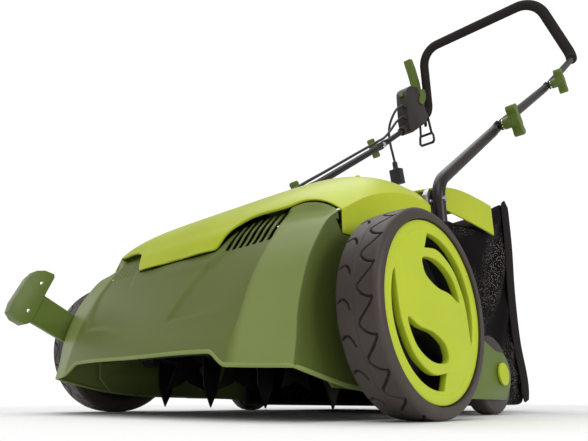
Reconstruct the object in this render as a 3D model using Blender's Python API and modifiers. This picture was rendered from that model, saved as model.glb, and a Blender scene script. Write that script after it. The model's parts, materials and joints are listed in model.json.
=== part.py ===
"""Corded lawn dethatcher: a slanted housing over a blade reel, four wheels, a grass bag and a folding handle.

Units are metres, +Z is up, the machine's nose points to -Y and its left side to +X. Everything is laid out from
the front wheels' axle line, which runs along X at height WHEEL_R, and the root empty then centres the machine.
"""

import math

import bmesh
import bpy
from mathutils import Matrix, Vector

# ---- driving dimensions -------------------------------------------------------------------------------------
AXLE_Y = -0.3877          # where the front axle stands once the whole machine is centred on the origin
GAP = 0.0003              # clearance between touching pieces
SIDES = ((1, "left"), (-1, "right"))

HALF_WIDTH = 0.216        # outer face of the housing
SHELL_WALL = 0.003
PLATE_IN = 0.196          # steel side plates of the reel chamber
PLATE_OUT = 0.200

WHEEL_R = 0.095
WHEEL_IN = 0.240
WHEEL_OUT = 0.2846
COVER_R = 0.0827
RIM_R = 0.0777
REAR_R = 0.047
REAR_AXLE = (0.233, 0.047)
REAR_WHEEL_IN = 0.2035

REEL = (0.015, 0.078)
REEL_R = 0.070
CRANK = (0.060, 0.156)    # cross-shaft that raises and lowers the front wheels
SHAFT_R = 0.008
ARM_IN = 0.2273
ARM_OUT = 0.2333

MOTOR = (0.030, 0.214)
MOTOR_R = 0.042
MOTOR_PULLEY_R = 0.014
REEL_PULLEY_R = 0.030
BELT_IN = 0.2040
BELT_OUT = 0.2115

TUBE_X = 0.216            # handle tubes
TUBE_R = 0.0083
MID_TUBE_R = 0.0080
LOOP_R = 0.0075
FOAM_R = 0.0130
TUBE_FOOT = (0.150, 0.225)
TUBE_BOLT = (0.150, 0.256)
TUBE_BEND = (0.150, 0.279)
JOINT_1 = (0.383, 0.450)
JOINT_2 = (0.685, 0.662)
GRIP_LOW = (0.212, 0.955, 0.869)
GRIP_TOP = (0.168, 0.864, 1.025)
GRIP_LOW_BEND = 0.030
GRIP_TOP_BEND = 0.062
TAB = 0.0025              # half thickness of the flattened tube ends
TAB_R = 0.0095

BOLT_R = 0.0040
BOLT_HOLE_R = 0.0043
WASHER_IN = 0.2216        # the washer that keeps each knob clear of the folding tube
WASHER_OUT = 0.2233
KNOB_IN = WASHER_OUT + GAP
KNOB_WING_IN = 0.2345
KNOB_OUT = 0.2495
KNOB_X = 0.235

BLADES = 13
BLADE_START = -0.152      # the first blade's place across the machine
BLADE_STEP = 0.025
BLADE_HALF = 0.0012
REEL_PARTS = (("right", -0.1700, -0.0645), ("middle", -0.0645, 0.0605), ("left", 0.0605, 0.1700))
REEL_BORE_R = 0.0103

BAIL_PIVOT = (-0.2125, 0.896, 0.893)
BUTTON = (-0.2125, 0.8060, 0.8620)
HOOK_CENTRE = (-0.2125, 0.9190, 0.8414)

FLAP_HINGE = (0.1745, 0.2935)
BAG_HALF = 0.186
BAG_WALL = 0.006
BAG_FRAME_HALF = 0.182
BAG_FRAME_Y = 0.1915
BAG_FRAME_LOW = 0.012
BAG_FRAME_HIGH = 0.252
BAG_FRAME_R = 0.0040

# Side views, as (y, z) points on each line.
CREASE = [(-0.115, 0.044), (-0.112, 0.064), (-0.110, 0.089), (-0.105, 0.111), (-0.095, 0.139),
          (-0.081, 0.163), (-0.066, 0.182), (-0.052, 0.192), (-0.036, 0.206)]
NOSE = [(-0.138, 0.044), (-0.135, 0.059), (-0.127, 0.090), (-0.114, 0.125), (-0.100, 0.152),
        (-0.087, 0.172), (-0.074, 0.190), (-0.060, 0.205), (-0.054, 0.211)]
HOOD_CENTRE = [(-0.090, 0.172), (-0.084, 0.188), (-0.076, 0.199), (-0.063, 0.217), (-0.050, 0.229),
               (-0.009, 0.254), (0.045, 0.279), (0.100, 0.291), (0.172, 0.296)]
HOOD_EDGE = [(-0.090, 0.130), (-0.076, 0.152), (-0.0655, 0.170), (-0.0575, 0.185), (-0.047, 0.194),
             (-0.031, 0.204), (-0.008, 0.217), (0.029, 0.232), (0.082, 0.244), (0.103, 0.244), (0.172, 0.240)]
HOOD_SQUARENESS = 6       # how late the hood's arch turns down to its edges
HOOD_LIP_DROP = 0.0036    # the lower shell stops this far below the hood's lip
PILLAR_X = 0.150          # inside of this the front is one gentle bow, outside it turns back to the crease
VENT_LEAN = math.radians(34)
HOOD_NOTCH_X = 0.192
HOOD_NOTCH_Y = 0.128
HOOD_REAR_Y = 0.172
FLANK_Z = 0.170


# ---- scene and small helpers --------------------------------------------------------------------------------
for old in list(bpy.data.objects):
    bpy.data.objects.remove(old, do_unlink=True)

parts = bpy.data.collections.new("lawn_dethatcher")
cutters = bpy.data.collections.new("cutters")
bpy.context.scene.collection.children.link(parts)
bpy.context.scene.collection.children.link(cutters)

root = bpy.data.objects.new("front_axle_line", None)
root.location = (0.0, AXLE_Y, 0.0)
parts.objects.link(root)


def material(name, colour, roughness, metallic=0.0):
    mat = bpy.data.materials.new(name)
    mat.use_nodes = True
    bsdf = mat.node_tree.nodes["Principled BSDF"]
    bsdf.inputs["Base Color"].default_value = (*colour, 1.0)
    bsdf.inputs["Roughness"].default_value = roughness
    bsdf.inputs["Metallic"].default_value = metallic
    return mat


LIME = material("lime_plastic", (0.55, 0.66, 0.04), 0.3)
OLIVE = material("olive_plastic", (0.13, 0.19, 0.04), 0.45)
LEAF = material("leaf_plastic", (0.16, 0.26, 0.05), 0.4)
TUBE = material("brown_tube", (0.045, 0.035, 0.032), 0.35)
FOAM = material("foam_grip", (0.03, 0.025, 0.023), 0.9)
TYRE = material("tyre_plastic", (0.07, 0.06, 0.055), 0.5)
DARK = material("dark_plastic", (0.05, 0.043, 0.04), 0.5)
BLACK = material("black_plastic", (0.015, 0.015, 0.015), 0.5)
STEEL = material("steel", (0.5, 0.5, 0.5), 0.35, 1.0)
BLACK_STEEL = material("black_steel", (0.02, 0.02, 0.02), 0.4, 0.6)
CHROME = material("chrome", (0.8, 0.8, 0.8), 0.1, 1.0)
CLOTH = material("bag_cloth", (0.012, 0.011, 0.012), 0.95)
RUBBER = material("belt_rubber", (0.02, 0.02, 0.02), 0.8)


def place(obj, name, mat, collection=None):
    """Names the object, hangs it on the root empty and gives it its one material."""
    obj.name = name
    obj.data.name = name
    obj.parent = root
    for owner in list(obj.users_collection):
        owner.objects.unlink(obj)
    (collection or parts).objects.link(obj)
    if mat:
        obj.data.materials.clear()
        obj.data.materials.append(mat)
    if collection is cutters:
        obj.hide_render = True
        obj.display_type = "WIRE"
    return obj


def as_mesh(curve_obj):
    """A mesh copy of a curve object, with the caps welded on; the curve is removed."""
    graph = bpy.context.evaluated_depsgraph_get()
    mesh = bpy.data.meshes.new_from_object(curve_obj.evaluated_get(graph))
    bm = bmesh.new()
    bm.from_mesh(mesh)
    bmesh.ops.remove_doubles(bm, verts=bm.verts, dist=0.00002)
    bmesh.ops.recalc_face_normals(bm, faces=bm.faces)
    bm.to_mesh(mesh)
    bm.free()
    obj = bpy.data.objects.new("mesh", mesh)
    obj.matrix_world = curve_obj.matrix_world
    parts.objects.link(obj)
    bpy.data.objects.remove(curve_obj, do_unlink=True)
    return obj


def smooth(obj, angle=35):
    obj.data.shade_smooth()
    obj.data.set_sharp_from_angle(angle=math.radians(angle))
    return obj


def boolean(obj, other, operation):
    mod = obj.modifiers.new(operation.lower(), "BOOLEAN")
    mod.operation = operation
    mod.solver = "EXACT"
    mod.object = other
    return obj


def cut(obj, *others):
    for other in others:
        boolean(obj, other, "DIFFERENCE")
    return obj


def bake(obj):
    """Applies the modifiers, so that the result can serve in another Boolean."""
    bpy.context.view_layer.update()
    graph = bpy.context.evaluated_depsgraph_get()
    mesh = bpy.data.meshes.new_from_object(obj.evaluated_get(graph))
    obj.modifiers.clear()
    obj.data = mesh
    return obj


def join_bodies(name, mat, first, *others):
    """One solid from overlapping ones; the helpers are removed once they are joined."""
    for other in others:
        boolean(first, other, "UNION")
    bake(first)
    for other in others:
        bpy.data.objects.remove(other, do_unlink=True)
    return place(first, name, mat)


def plate(name, loops, x0, x1, mat, collection=None):
    """A flat sheet between x0 and x1 whose outline, and holes after it, are loops of (y, z) points."""
    curve = bpy.data.curves.new(name, "CURVE")
    curve.dimensions = "2D"
    curve.fill_mode = "BOTH"
    curve.extrude = abs(x1 - x0) / 2
    for loop in loops:
        spline = curve.splines.new("POLY")
        spline.points.add(len(loop) - 1)
        for point, (y, z) in zip(spline.points, loop):
            point.co = (y, z, 0.0, 1.0)
        spline.use_cyclic_u = True
    obj = bpy.data.objects.new(name, curve)
    # local X runs along world Y, local Y along world Z and local Z along world X
    turn = Matrix(((0, 0, 1, 0), (1, 0, 0, 0), (0, 1, 0, 0), (0, 0, 0, 1)))
    obj.matrix_world = Matrix.Translation(((x0 + x1) / 2, 0.0, 0.0)) @ turn
    parts.objects.link(obj)
    bpy.context.view_layer.update()
    return place(as_mesh(obj), name, mat, collection)


def ring_points(centre, radius, count=16, start=0.0, end=360.0):
    full = abs(end - start) >= 360.0
    steps = count if full else count - 1
    angles = [math.radians(start + (end - start) * i / steps) for i in range(count)]
    return [(centre[0] + radius * math.cos(a), centre[1] + radius * math.sin(a)) for a in angles]


def mirrored(span, side):
    """The x limits on one side of the machine of a piece that spans these on the left side."""
    return span if side > 0 else (-span[1], -span[0])


def both(stem):
    """The names of a left and right pair."""
    return [stem + "_" + label for _, label in SIDES]


def rod(name, centre, radius, x0, x1, mat, vertices=20, collection=None):
    """A round bar along X through the (y, z) centre."""
    bm = bmesh.new()
    bmesh.ops.create_cone(bm, cap_ends=True, segments=vertices, radius1=radius, radius2=radius,
                          depth=abs(x1 - x0))
    mesh = bpy.data.meshes.new(name)
    bm.to_mesh(mesh)
    bm.free()
    obj = bpy.data.objects.new(name, mesh)
    obj.rotation_euler = (0.0, math.pi / 2, 0.0)
    obj.location = ((x0 + x1) / 2, centre[0], centre[1])
    parts.objects.link(obj)
    return smooth(place(obj, name, mat, collection))


def box(name, low, high, mat, collection=None):
    bm = bmesh.new()
    size = [b - a for a, b in zip(low, high)]
    bmesh.ops.create_cube(bm, size=1.0, matrix=Matrix.Diagonal((*size, 1.0)))
    mesh = bpy.data.meshes.new(name)
    bm.to_mesh(mesh)
    bm.free()
    obj = bpy.data.objects.new(name, mesh)
    obj.location = [(a + b) / 2 for a, b in zip(low, high)]
    parts.objects.link(obj)
    return place(obj, name, mat, collection)


def around(centre, size):
    """The low and high corners of a box of this size round a point."""
    low = [c - s / 2 for c, s in zip(centre, size)]
    high = [c + s / 2 for c, s in zip(centre, size)]
    return low, high


def turned(name, profile, centre, x, side, mat, steps=32):
    """A solid of revolution about X; the profile is (outward distance from x, radius), outside to inside."""
    mesh = bpy.data.meshes.new(name)
    points = [(radius, 0.0, out) for out, radius in profile]
    edges = [(i, (i + 1) % len(points)) for i in range(len(points))]
    mesh.from_pydata(points, edges, [])
    obj = bpy.data.objects.new(name, mesh)
    obj.rotation_euler = (0.0, side * math.pi / 2, 0.0)
    obj.location = (side * x, centre[0], centre[1])
    parts.objects.link(obj)
    mod = obj.modifiers.new("turn", "SCREW")
    mod.steps = steps
    mod.render_steps = steps
    mod.use_merge_vertices = True
    mod.merge_threshold = 0.00005
    place(obj, name, mat)
    bake(obj)
    bm = bmesh.new()
    bm.from_mesh(obj.data)
    bmesh.ops.recalc_face_normals(bm, faces=bm.faces)
    bm.to_mesh(obj.data)
    bm.free()
    return smooth(obj)


def tube(name, points, radius, mat, sides=10, collection=None, ring=False):
    """A round tube along the points, with closed ends, or joined up into a ring."""
    curve = bpy.data.curves.new(name, "CURVE")
    curve.dimensions = "3D"
    curve.bevel_depth = radius
    curve.bevel_resolution = (sides - 4) // 2
    curve.use_fill_caps = not ring
    spline = curve.splines.new("POLY")
    spline.points.add(len(points) - 1)
    for point, co in zip(spline.points, points):
        point.co = (*co, 1.0)
    spline.use_cyclic_u = ring
    obj = bpy.data.objects.new(name, curve)
    parts.objects.link(obj)
    bpy.context.view_layer.update()
    return smooth(place(as_mesh(obj), name, mat, collection))


def value_at(line, t, along, out):
    """Smooth reading of a hand-drawn line of points: the 'out' value where the 'along' value is t."""
    pts = sorted(line, key=lambda p: p[along])
    if t <= pts[0][along]:
        return pts[0][out]
    if t >= pts[-1][along]:
        return pts[-1][out]
    i = next(k for k in range(len(pts) - 1) if pts[k + 1][along] >= t)
    slopes = [(b[out] - a[out]) / (b[along] - a[along]) for a, b in zip(pts, pts[1:])]

    def tangent(k):
        if k == 0 or k == len(pts) - 1:
            return slopes[min(k, len(slopes) - 1)]
        return (slopes[k - 1] + slopes[k]) / 2

    span = pts[i + 1][along] - pts[i][along]
    s = (t - pts[i][along]) / span
    a = pts[i][out]
    b = pts[i + 1][out]
    return (a * (1 + 2 * s) * (1 - s) ** 2 + b * s * s * (3 - 2 * s)
            + span * (tangent(i) * s * (1 - s) ** 2 - tangent(i + 1) * s * s * (1 - s)))


def rounded_path(corners, radii, steps=4):
    """The corners joined by straight runs, with an arc of the given radius at each inner corner."""
    corners = [Vector(c) for c in corners]
    path = [corners[0]]
    for i, radius in enumerate(radii, start=1):
        back = (corners[i - 1] - corners[i]).normalized()
        ahead = (corners[i + 1] - corners[i]).normalized()
        half = back.angle(ahead) / 2
        centre = corners[i] + (back + ahead).normalized() * radius / math.sin(half)
        reach = radius / math.tan(half)
        start = corners[i] + back * reach - centre
        end = corners[i] + ahead * reach - centre
        sweep = start.angle(end)
        for k in range(steps + 1):
            s = k / steps
            point = (start * math.sin((1 - s) * sweep) + end * math.sin(s * sweep)) / math.sin(sweep)
            path.append(centre + point)
    path.append(corners[-1])
    return path


def smooth_route(points, spacing):
    """Points along a smooth curve through the given ones, about 'spacing' apart."""
    pts = [Vector(p) for p in points]
    pts = [2 * pts[0] - pts[1]] + pts + [2 * pts[-1] - pts[-2]]
    route = [pts[1]]
    for a, b, c, d in zip(pts, pts[1:], pts[2:], pts[3:]):
        count = max(1, round((c - b).length / spacing))
        for k in range(1, count + 1):
            s = k / count
            route.append(0.5 * (2 * b + (c - a) * s + (2 * a - 5 * b + 4 * c - d) * s * s
                                + (3 * b - a - 3 * c + d) * s ** 3))
    return route


def grid_shell(name, columns, wall, mat):
    """A thin shell from columns of surface points; a missing point leaves a hole. The wall grows inwards."""
    bm = bmesh.new()
    grid = [[bm.verts.new(p) if p is not None else None for p in column] for column in columns]
    for left, right in zip(grid, grid[1:]):
        for a, b, c, d in zip(left, right, right[1:], left[1:]):
            if None not in (a, b, c, d):
                bm.faces.new((a, d, c, b))
    mesh = bpy.data.meshes.new(name)
    bm.to_mesh(mesh)
    bm.free()
    obj = bpy.data.objects.new(name, mesh)
    parts.objects.link(obj)
    mod = obj.modifiers.new("wall", "SOLIDIFY")
    mod.thickness = wall
    mod.offset = -1.0
    mod.use_even_offset = True
    mod.thickness_clamp = 1.0
    return smooth(place(obj, name, mat))


# ---- housing ------------------------------------------------------------------------------------------------
def front_y(x, z):
    """Where the front of the lower shell stands, at a distance x from the middle and a height z."""
    middle = value_at(NOSE, z, 1, 0)
    corner = value_at(CREASE, z, 1, 0)
    inner = middle + 0.003 * (x / PILLAR_X) ** 2
    if x <= PILLAR_X:
        return inner
    t = (x - PILLAR_X) / (HALF_WIDTH - PILLAR_X)
    return (middle + 0.003) * (1 - t) + corner * t


def front_bottom(x):
    """Lower edge of the front: a raised mouth in the middle, dropping to the corners."""
    return value_at([(0.0, 0.059), (0.120, 0.059), (0.127, 0.0585), (0.149, 0.0465), (0.156, 0.046),
                     (0.216, 0.044)], x, 0, 1)


def front_top(x):
    """Upper edge of the front, just under the hood's lip."""
    return hood_z(x, hood_front(x)) - HOOD_LIP_DROP


def make_front_shell():
    heights = [0.0, 0.12, 0.26, 0.40, 0.54, 0.68, 0.80, 0.90, 1.0]
    side_run = [0.150, 0.090, 0.030, -0.020, -0.048]
    half = [0.216, 0.200, 0.178, 0.161, 0.149, 0.138, 0.127, 0.112, 0.096, 0.088, 0.070, 0.035]
    columns = []
    for y in side_run:
        low = value_at([(-0.115, 0.044), (-0.035, 0.028), (0.150, 0.020)], y, 0, 1)
        top = 0.1685
        columns.append([(HALF_WIDTH, y, low + (top - low) * h) for h in heights])
    # the last side column follows the crease, just behind the corner
    columns.append([(HALF_WIDTH, value_at(CREASE, z, 1, 0) + 0.006, z)
                    for z in (0.0435 + 0.1400 * h for h in heights)])
    for x in half:
        low = front_bottom(x)
        top = front_top(x)
        columns.append([(x, front_y(x, low + (top - low) * h), low + (top - low) * h) for h in heights])
    columns.append([(0.0, front_y(0.0, z), z)
                    for z in (front_bottom(0.0) + (front_top(0.0) - front_bottom(0.0)) * h for h in heights)])
    mirror = [[(-x, y, z) for x, y, z in column] for column in reversed(columns[:-1])]
    shell = grid_shell("front_shell", columns + mirror, SHELL_WALL, OLIVE)
    slots = []
    for side, _ in SIDES:
        for i in range(7):
            x = 0.0945 + 0.0100 * i
            low = 0.1705
            high = front_top(x) - 0.0040
            tall = (high - low) / math.cos(VENT_LEAN)
            slot = box("vent_cut", (-0.0026, -0.012, -tall / 2), (0.0026, 0.012, tall / 2), None, cutters)
            slot.location = (side * x, front_y(x, (low + high) / 2), (low + high) / 2)
            slot.rotation_euler = (-VENT_LEAN, side * math.radians(12), 0.0)
            slots.append(slot)
    shaft_hole = rod("shaft_cut", CRANK, SHAFT_R + 2 * GAP, -0.230, 0.230, None, collection=cutters)
    return cut(shell, shaft_hole, *slots)


def hood_z(x, y):
    centre = value_at(HOOD_CENTRE, y, 0, 1)
    edge = value_at(HOOD_EDGE, y, 0, 1)
    return edge + (centre - edge) * (1 - min(1.0, abs(x) / HALF_WIDTH) ** HOOD_SQUARENESS)


def hood_front(x):
    """Front edge of the hood: a tongue in the middle, then back along the vents to the fender's corner."""
    return value_at([(0.0, -0.0905), (0.076, -0.0895), (0.084, -0.084), (0.092, -0.078), (0.161, -0.0655),
                     (0.178, -0.0575), (0.200, -0.050), (0.216, -0.047)], x, 0, 1)


def make_hood():
    xs = [0.0, 0.040, 0.076, 0.084, 0.092, 0.115, 0.140, 0.161, 0.178, 0.192, 0.206, 0.216]
    runs = [0.0, 0.05, 0.12, 0.22, 0.36, 0.55, 0.78, 1.0]
    rear = [0.150, HOOD_REAR_Y]
    half = []
    for x in xs:
        front = hood_front(x)
        column = [(x, y, hood_z(x, y)) for y in (front + (HOOD_NOTCH_Y - front) * r for r in runs)]
        if x <= HOOD_NOTCH_X:
            column += [(x, y, hood_z(x, y)) for y in rear]
        else:
            column += [None, None]
        half.append(column)
    flank = [(HALF_WIDTH, y, FLANK_Z + 0.35 * (z - FLANK_Z)) if z else None
             for _, y, z in (p or (0, 0, 0) for p in half[-1])]
    hem = [(HALF_WIDTH, p[1], FLANK_Z) if p else None for p in half[-1]]
    half += [flank, hem]
    mirror = [[(-p[0], p[1], p[2]) if p else None for p in column] for column in half[1:]]
    columns = [list(reversed(c)) for c in list(reversed(mirror)) + half]
    return grid_shell("hood", columns, SHELL_WALL, LIME)


def make_side_plates():
    outline = [(-0.062, 0.045), (-0.045, 0.028), (0.046, 0.024), (0.180, 0.017), (0.240, 0.014)]
    outline += ring_points(REAR_AXLE, 0.024, 7, -70, 70)
    outline += [(0.190, 0.095), (0.172, 0.165), (-0.052, 0.165), (-0.070, 0.120)]
    for side, label in SIDES:
        x0, x1 = mirrored((PLATE_IN, PLATE_OUT), side)
        holes = [ring_points(CRANK, SHAFT_R + GAP), ring_points(REEL, 0.0170),
                 ring_points(REAR_AXLE, 0.0063, 16)]
        plate("side_plate_" + label, [outline] + holes, x0, x1, OLIVE)


def make_reel_baffle():
    outer = ring_points(REEL, 0.0790, 15, 190, 50)
    inner = ring_points(REEL, 0.0765, 15, 50, 190)
    rise = [(0.1690, 0.2040), (0.1690, 0.2560), (0.1715, 0.2560), (0.1715, 0.2020)]
    limit = PLATE_IN - GAP
    plate("reel_baffle", [outer + rise + inner], -limit, limit, BLACK)


def make_rear_brackets():
    outline = [(0.110, 0.019), (0.110, 0.112), (0.150, 0.108), (0.189, 0.086), (0.222, 0.074)]
    outline += ring_points((0.2330, 0.0480), 0.0260, 9, 70, -60)
    outline += [(0.240, 0.017)]
    for side, label in SIDES:
        x0, x1 = mirrored((0.2300, 0.2360), side)
        bore = ring_points(REAR_AXLE, 0.0063, 16)
        face = plate("face", [outline, bore], x0, x1, None)
        low, high = mirrored((PLATE_OUT + GAP, 0.2310), side)
        web = box("web", (low, 0.158, 0.020), (high, 0.164, 0.100), None)
        join_bodies("rear_bracket_" + label, LEAF, face, web)


# ---- drive --------------------------------------------------------------------------------------------------
def blade(x, phase):
    """One flat tooth: two pointed arms on opposite sides of the reel."""
    arms = []
    for arm in (0.0, 180.0):
        # root of the arm, leading edge, pointed tip, trailing edge
        for angle, radius in ((-140, 0.020), (-106, 0.046), (-90, REEL_R), (-80, 0.052), (-64, 0.030)):
            a = math.radians(angle + phase + arm)
            arms.append((REEL[0] + radius * math.cos(a), REEL[1] + radius * math.sin(a)))
    return plate("blade", [arms], x - BLADE_HALF, x + BLADE_HALF, None)


def make_reel():
    rod("reel_shaft", REEL, 0.0100, -0.2118, 0.2050, STEEL)
    places = [(BLADE_START + BLADE_STEP * i, 45.0 * i) for i in range(BLADES)]
    for label, low, high in REEL_PARTS:
        core = rod("core", REEL, 0.0160, low + GAP / 2, high - GAP / 2, None, 12)
        blades = [blade(x, phase) for x, phase in places if low < x < high]
        reel = join_bodies("blade_reel_" + label, BLACK_STEEL, core, *blades)
        cut(reel, rod("reel_bore", REEL, REEL_BORE_R, low - 0.010, high + 0.010, None, collection=cutters))
    loops = [ring_points(REEL, REEL_PULLEY_R, 32), ring_points(REEL, REEL_BORE_R, 24)]
    plate("reel_pulley", loops, -BELT_OUT, -BELT_IN, STEEL)
    for side, label in SIDES:
        low, high = mirrored((0.1940, 0.2020), side)
        loops = [ring_points(REEL, 0.0167, 24), ring_points(REEL, REEL_BORE_R, 24)]
        plate("bearing_" + label, loops, low, high, STEEL)


def belt_loop(offset):
    """Outline round both pulleys, the given distance outside their rims."""
    top = Vector(MOTOR)
    low = Vector(REEL)
    along = top - low
    lean = math.degrees(math.atan2(along.y, along.x))
    r_top = MOTOR_PULLEY_R + offset
    r_low = REEL_PULLEY_R + offset
    wrap = math.degrees(math.acos((r_low - r_top) / along.length))
    upper = ring_points(MOTOR, r_top, 13, lean - wrap, lean + wrap)
    lower = ring_points(REEL, r_low, 17, lean + wrap, lean + 360 - wrap)
    return upper + lower


def make_drive():
    rod("motor_can", MOTOR, MOTOR_R, -0.150, 0.020, None)
    can = bpy.data.objects["motor_can"]
    bell = rod("bell", MOTOR, 0.026, -0.168, 0.036, None)
    join_bodies("motor_housing", BLACK, can, bell)
    bore = rod("motor_bore", MOTOR, 0.0054, -0.190, -0.140, None, 16, cutters)
    cut(bpy.data.objects["motor_housing"], bore)
    wheel = rod("wheel", MOTOR, MOTOR_PULLEY_R, -BELT_OUT, -BELT_IN, None)
    spindle = rod("spindle", MOTOR, 0.0050, -0.208, -0.142, None, 16)
    join_bodies("motor_pulley", STEEL, wheel, spindle)
    plate("drive_belt", [belt_loop(0.0025), belt_loop(GAP)], -BELT_OUT, -BELT_IN, RUBBER)
    box("motor_cradle", (-PLATE_OUT, -0.015, 0.1653), (PLATE_OUT, 0.080, 0.1690), STEEL)


# ---- wheels and depth adjustment ----------------------------------------------------------------------------
def cover_openings():
    """A leaf and the crescent outside it, twice, half a turn apart, as (y, z) from the wheel's middle."""
    leaf = [(-0.047, -0.0115), (-0.039, -0.030), (-0.025, -0.041), (-0.006, -0.047), (0.015, -0.0455),
            (0.0165, -0.037), (0.0105, -0.0285), (-0.007, -0.021), (-0.028, -0.018)]
    inner = [(0.0115, -0.0555), (-0.008, -0.0575), (-0.024, -0.0525), (-0.041, -0.041), (-0.054, -0.021),
             (-0.0595, -0.004), (-0.0630, 0.028)]
    outer = ring_points((0.0, 0.0), 0.0705, 12, 160, 274)
    crescent = outer + inner
    openings = []
    for turn in (1, -1):
        for shape in (leaf, crescent):
            openings.append([(turn * y, WHEEL_R + turn * z) for y, z in shape])
    return openings


def make_front_wheels():
    width = WHEEL_OUT - WHEEL_IN
    tyre = [(width, 0.0835), (width, 0.0905), (width - 0.004, 0.0945), (width / 2, WHEEL_R),
            (0.004, 0.0945), (0.0, 0.0905), (0.0, RIM_R + GAP), (width - 0.0095, RIM_R + GAP),
            (width - 0.0095, 0.0835)]
    rim = [(0.0300, 0.0200), (0.0300, 0.0083), (0.0, 0.0083), (0.0, RIM_R), (0.0335, RIM_R),
           (0.0335, RIM_R - 0.003), (0.0110, RIM_R - 0.006), (0.0110, 0.0240)]
    for side, label in SIDES:
        turned("front_tyre_" + label, tyre, (0.0, WHEEL_R), WHEEL_IN, side, TYRE, 32)
        turned("front_rim_" + label, rim, (0.0, WHEEL_R), WHEEL_IN, side, BLACK, 32)
        x0, x1 = mirrored((WHEEL_OUT - 0.0090, WHEEL_OUT - 0.0020), side)
        loops = [ring_points((0.0, WHEEL_R), COVER_R, 40)] + cover_openings()
        plate("hub_cover_" + label, loops, x0, x1, LIME)


def make_rear_wheels():
    profile = [(0.0, 0.0063), (0.0, 0.0440), (0.0030, REAR_R), (0.0205, REAR_R), (0.0235, 0.0440),
               (0.0235, 0.0063)]
    for side, label in SIDES:
        turned("rear_wheel_" + label, profile, REAR_AXLE, REAR_WHEEL_IN, side, TYRE, 24)
        low, high = mirrored((0.1950, 0.2380), side)
        pin = rod("pin", REAR_AXLE, 0.0060, low, high, None, 16)
        low, high = mirrored((0.2363, 0.2400), side)
        head = rod("head", REAR_AXLE, 0.0135, low, high, None)
        join_bodies("axle_pin_" + label, LIME, pin, head)


def make_crank():
    rod("crank_shaft", CRANK, SHAFT_R, -ARM_OUT, ARM_OUT, STEEL)
    axle = (0.0, WHEEL_R)
    lean = math.degrees(math.atan2(CRANK[1] - axle[1], CRANK[0] - axle[0]))
    outline = ring_points(CRANK, 0.0150, 9, lean - 90, lean + 90)
    outline += ring_points(axle, 0.0150, 9, lean + 90, lean + 270)
    for side, label in SIDES:
        x0, x1 = mirrored((ARM_IN, ARM_OUT), side)
        arm = plate("arm", [outline, ring_points(CRANK, SHAFT_R + GAP)], x0, x1, None)
        low, high = mirrored((ARM_IN + 0.002, 0.2690), side)
        stub = rod("stub", axle, SHAFT_R, low, high, None)
        join_bodies("crank_arm_" + label, STEEL, arm, stub)


def make_depth_lever():
    stem = [(-0.150, 0.154), (-0.099, 0.129), (-0.020, 0.112), (0.036, 0.146), (0.050, 0.132),
            (0.016, 0.080), (-0.060, 0.070), (-0.109, 0.0925), (-0.162, 0.117)]
    head = [(-0.183, 0.125), (-0.181, 0.138), (-0.166, 0.172), (-0.158, 0.182), (-0.147, 0.184),
            (-0.134, 0.181), (-0.133, 0.176), (-0.141, 0.155), (-0.154, 0.118), (-0.158, 0.112),
            (-0.163, 0.110), (-0.176, 0.116)]
    bar = plate("bar", [stem], -ARM_IN + GAP, -0.2190, None)
    grip = plate("grip", [head], -0.2400, -0.2175, None)
    join_bodies("depth_lever", LEAF, bar, grip)


# ---- handle -------------------------------------------------------------------------------------------------
def tab_outline(joint, towards, length=0.040):
    """A flat tongue round the joint's bolt that runs 'length' towards the given (y, z) point."""
    lean = math.degrees(math.atan2(towards[1] - joint[1], towards[0] - joint[0]))
    end = ring_points(joint, TAB_R, 9, lean + 90, lean + 270)
    a = math.radians(lean)
    foot = [(joint[0] + length * math.cos(a) + s * TAB_R * math.sin(a),
             joint[1] + length * math.sin(a) - s * TAB_R * math.cos(a)) for s in (1, -1)]
    return end + foot


def short_of(joint, towards, distance):
    along = Vector((towards[0] - joint[0], towards[1] - joint[1])).normalized()
    return (joint[0] + along.x * distance, joint[1] + along.y * distance)


def tab(joint, towards, inner, side):
    """The flattened end: the lower tube's lies inboard of the bolt's middle, the upper one's outboard."""
    low, high = (TUBE_X - GAP - 2 * TAB, TUBE_X - GAP) if inner else (TUBE_X + GAP, TUBE_X + GAP + 2 * TAB)
    x0, x1 = mirrored((low, high), side)
    loops = [tab_outline(joint, towards), ring_points(joint, BOLT_HOLE_R, 16)]
    return plate("tab", loops, x0, x1, None)


def make_straight_tubes():
    for side, label in SIDES:
        x = side * TUBE_X
        end = short_of(JOINT_1, TUBE_BEND, 0.020)
        path = rounded_path([(x, *TUBE_FOOT), (x, *TUBE_BEND), (x, *end)], [0.045])
        lower = tube("lower", path, TUBE_R, None)
        join_bodies("lower_tube_" + label, TUBE, lower, tab(JOINT_1, TUBE_BEND, True, side))
        low, high = mirrored((0.190, 0.240), side)
        cut(bpy.data.objects["lower_tube_" + label],
            rod("bolt_cut", TUBE_BOLT, BOLT_HOLE_R, low, high, None, 16, cutters))
        start = short_of(JOINT_1, JOINT_2, 0.020)
        end = short_of(JOINT_2, JOINT_1, 0.020)
        middle = tube("middle", [(x, *start), (x, *end)], MID_TUBE_R, None)
        join_bodies("middle_tube_" + label, TUBE, middle, tab(JOINT_1, JOINT_2, False, side),
                    tab(JOINT_2, JOINT_1, True, side))


def grip_corners(start):
    """Corners of the hand loop, from a point below the left lower bend to its mirror image."""
    half = [start, GRIP_LOW, GRIP_TOP]
    return half + [(-x, y, z) for x, y, z in reversed(half)]


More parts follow.
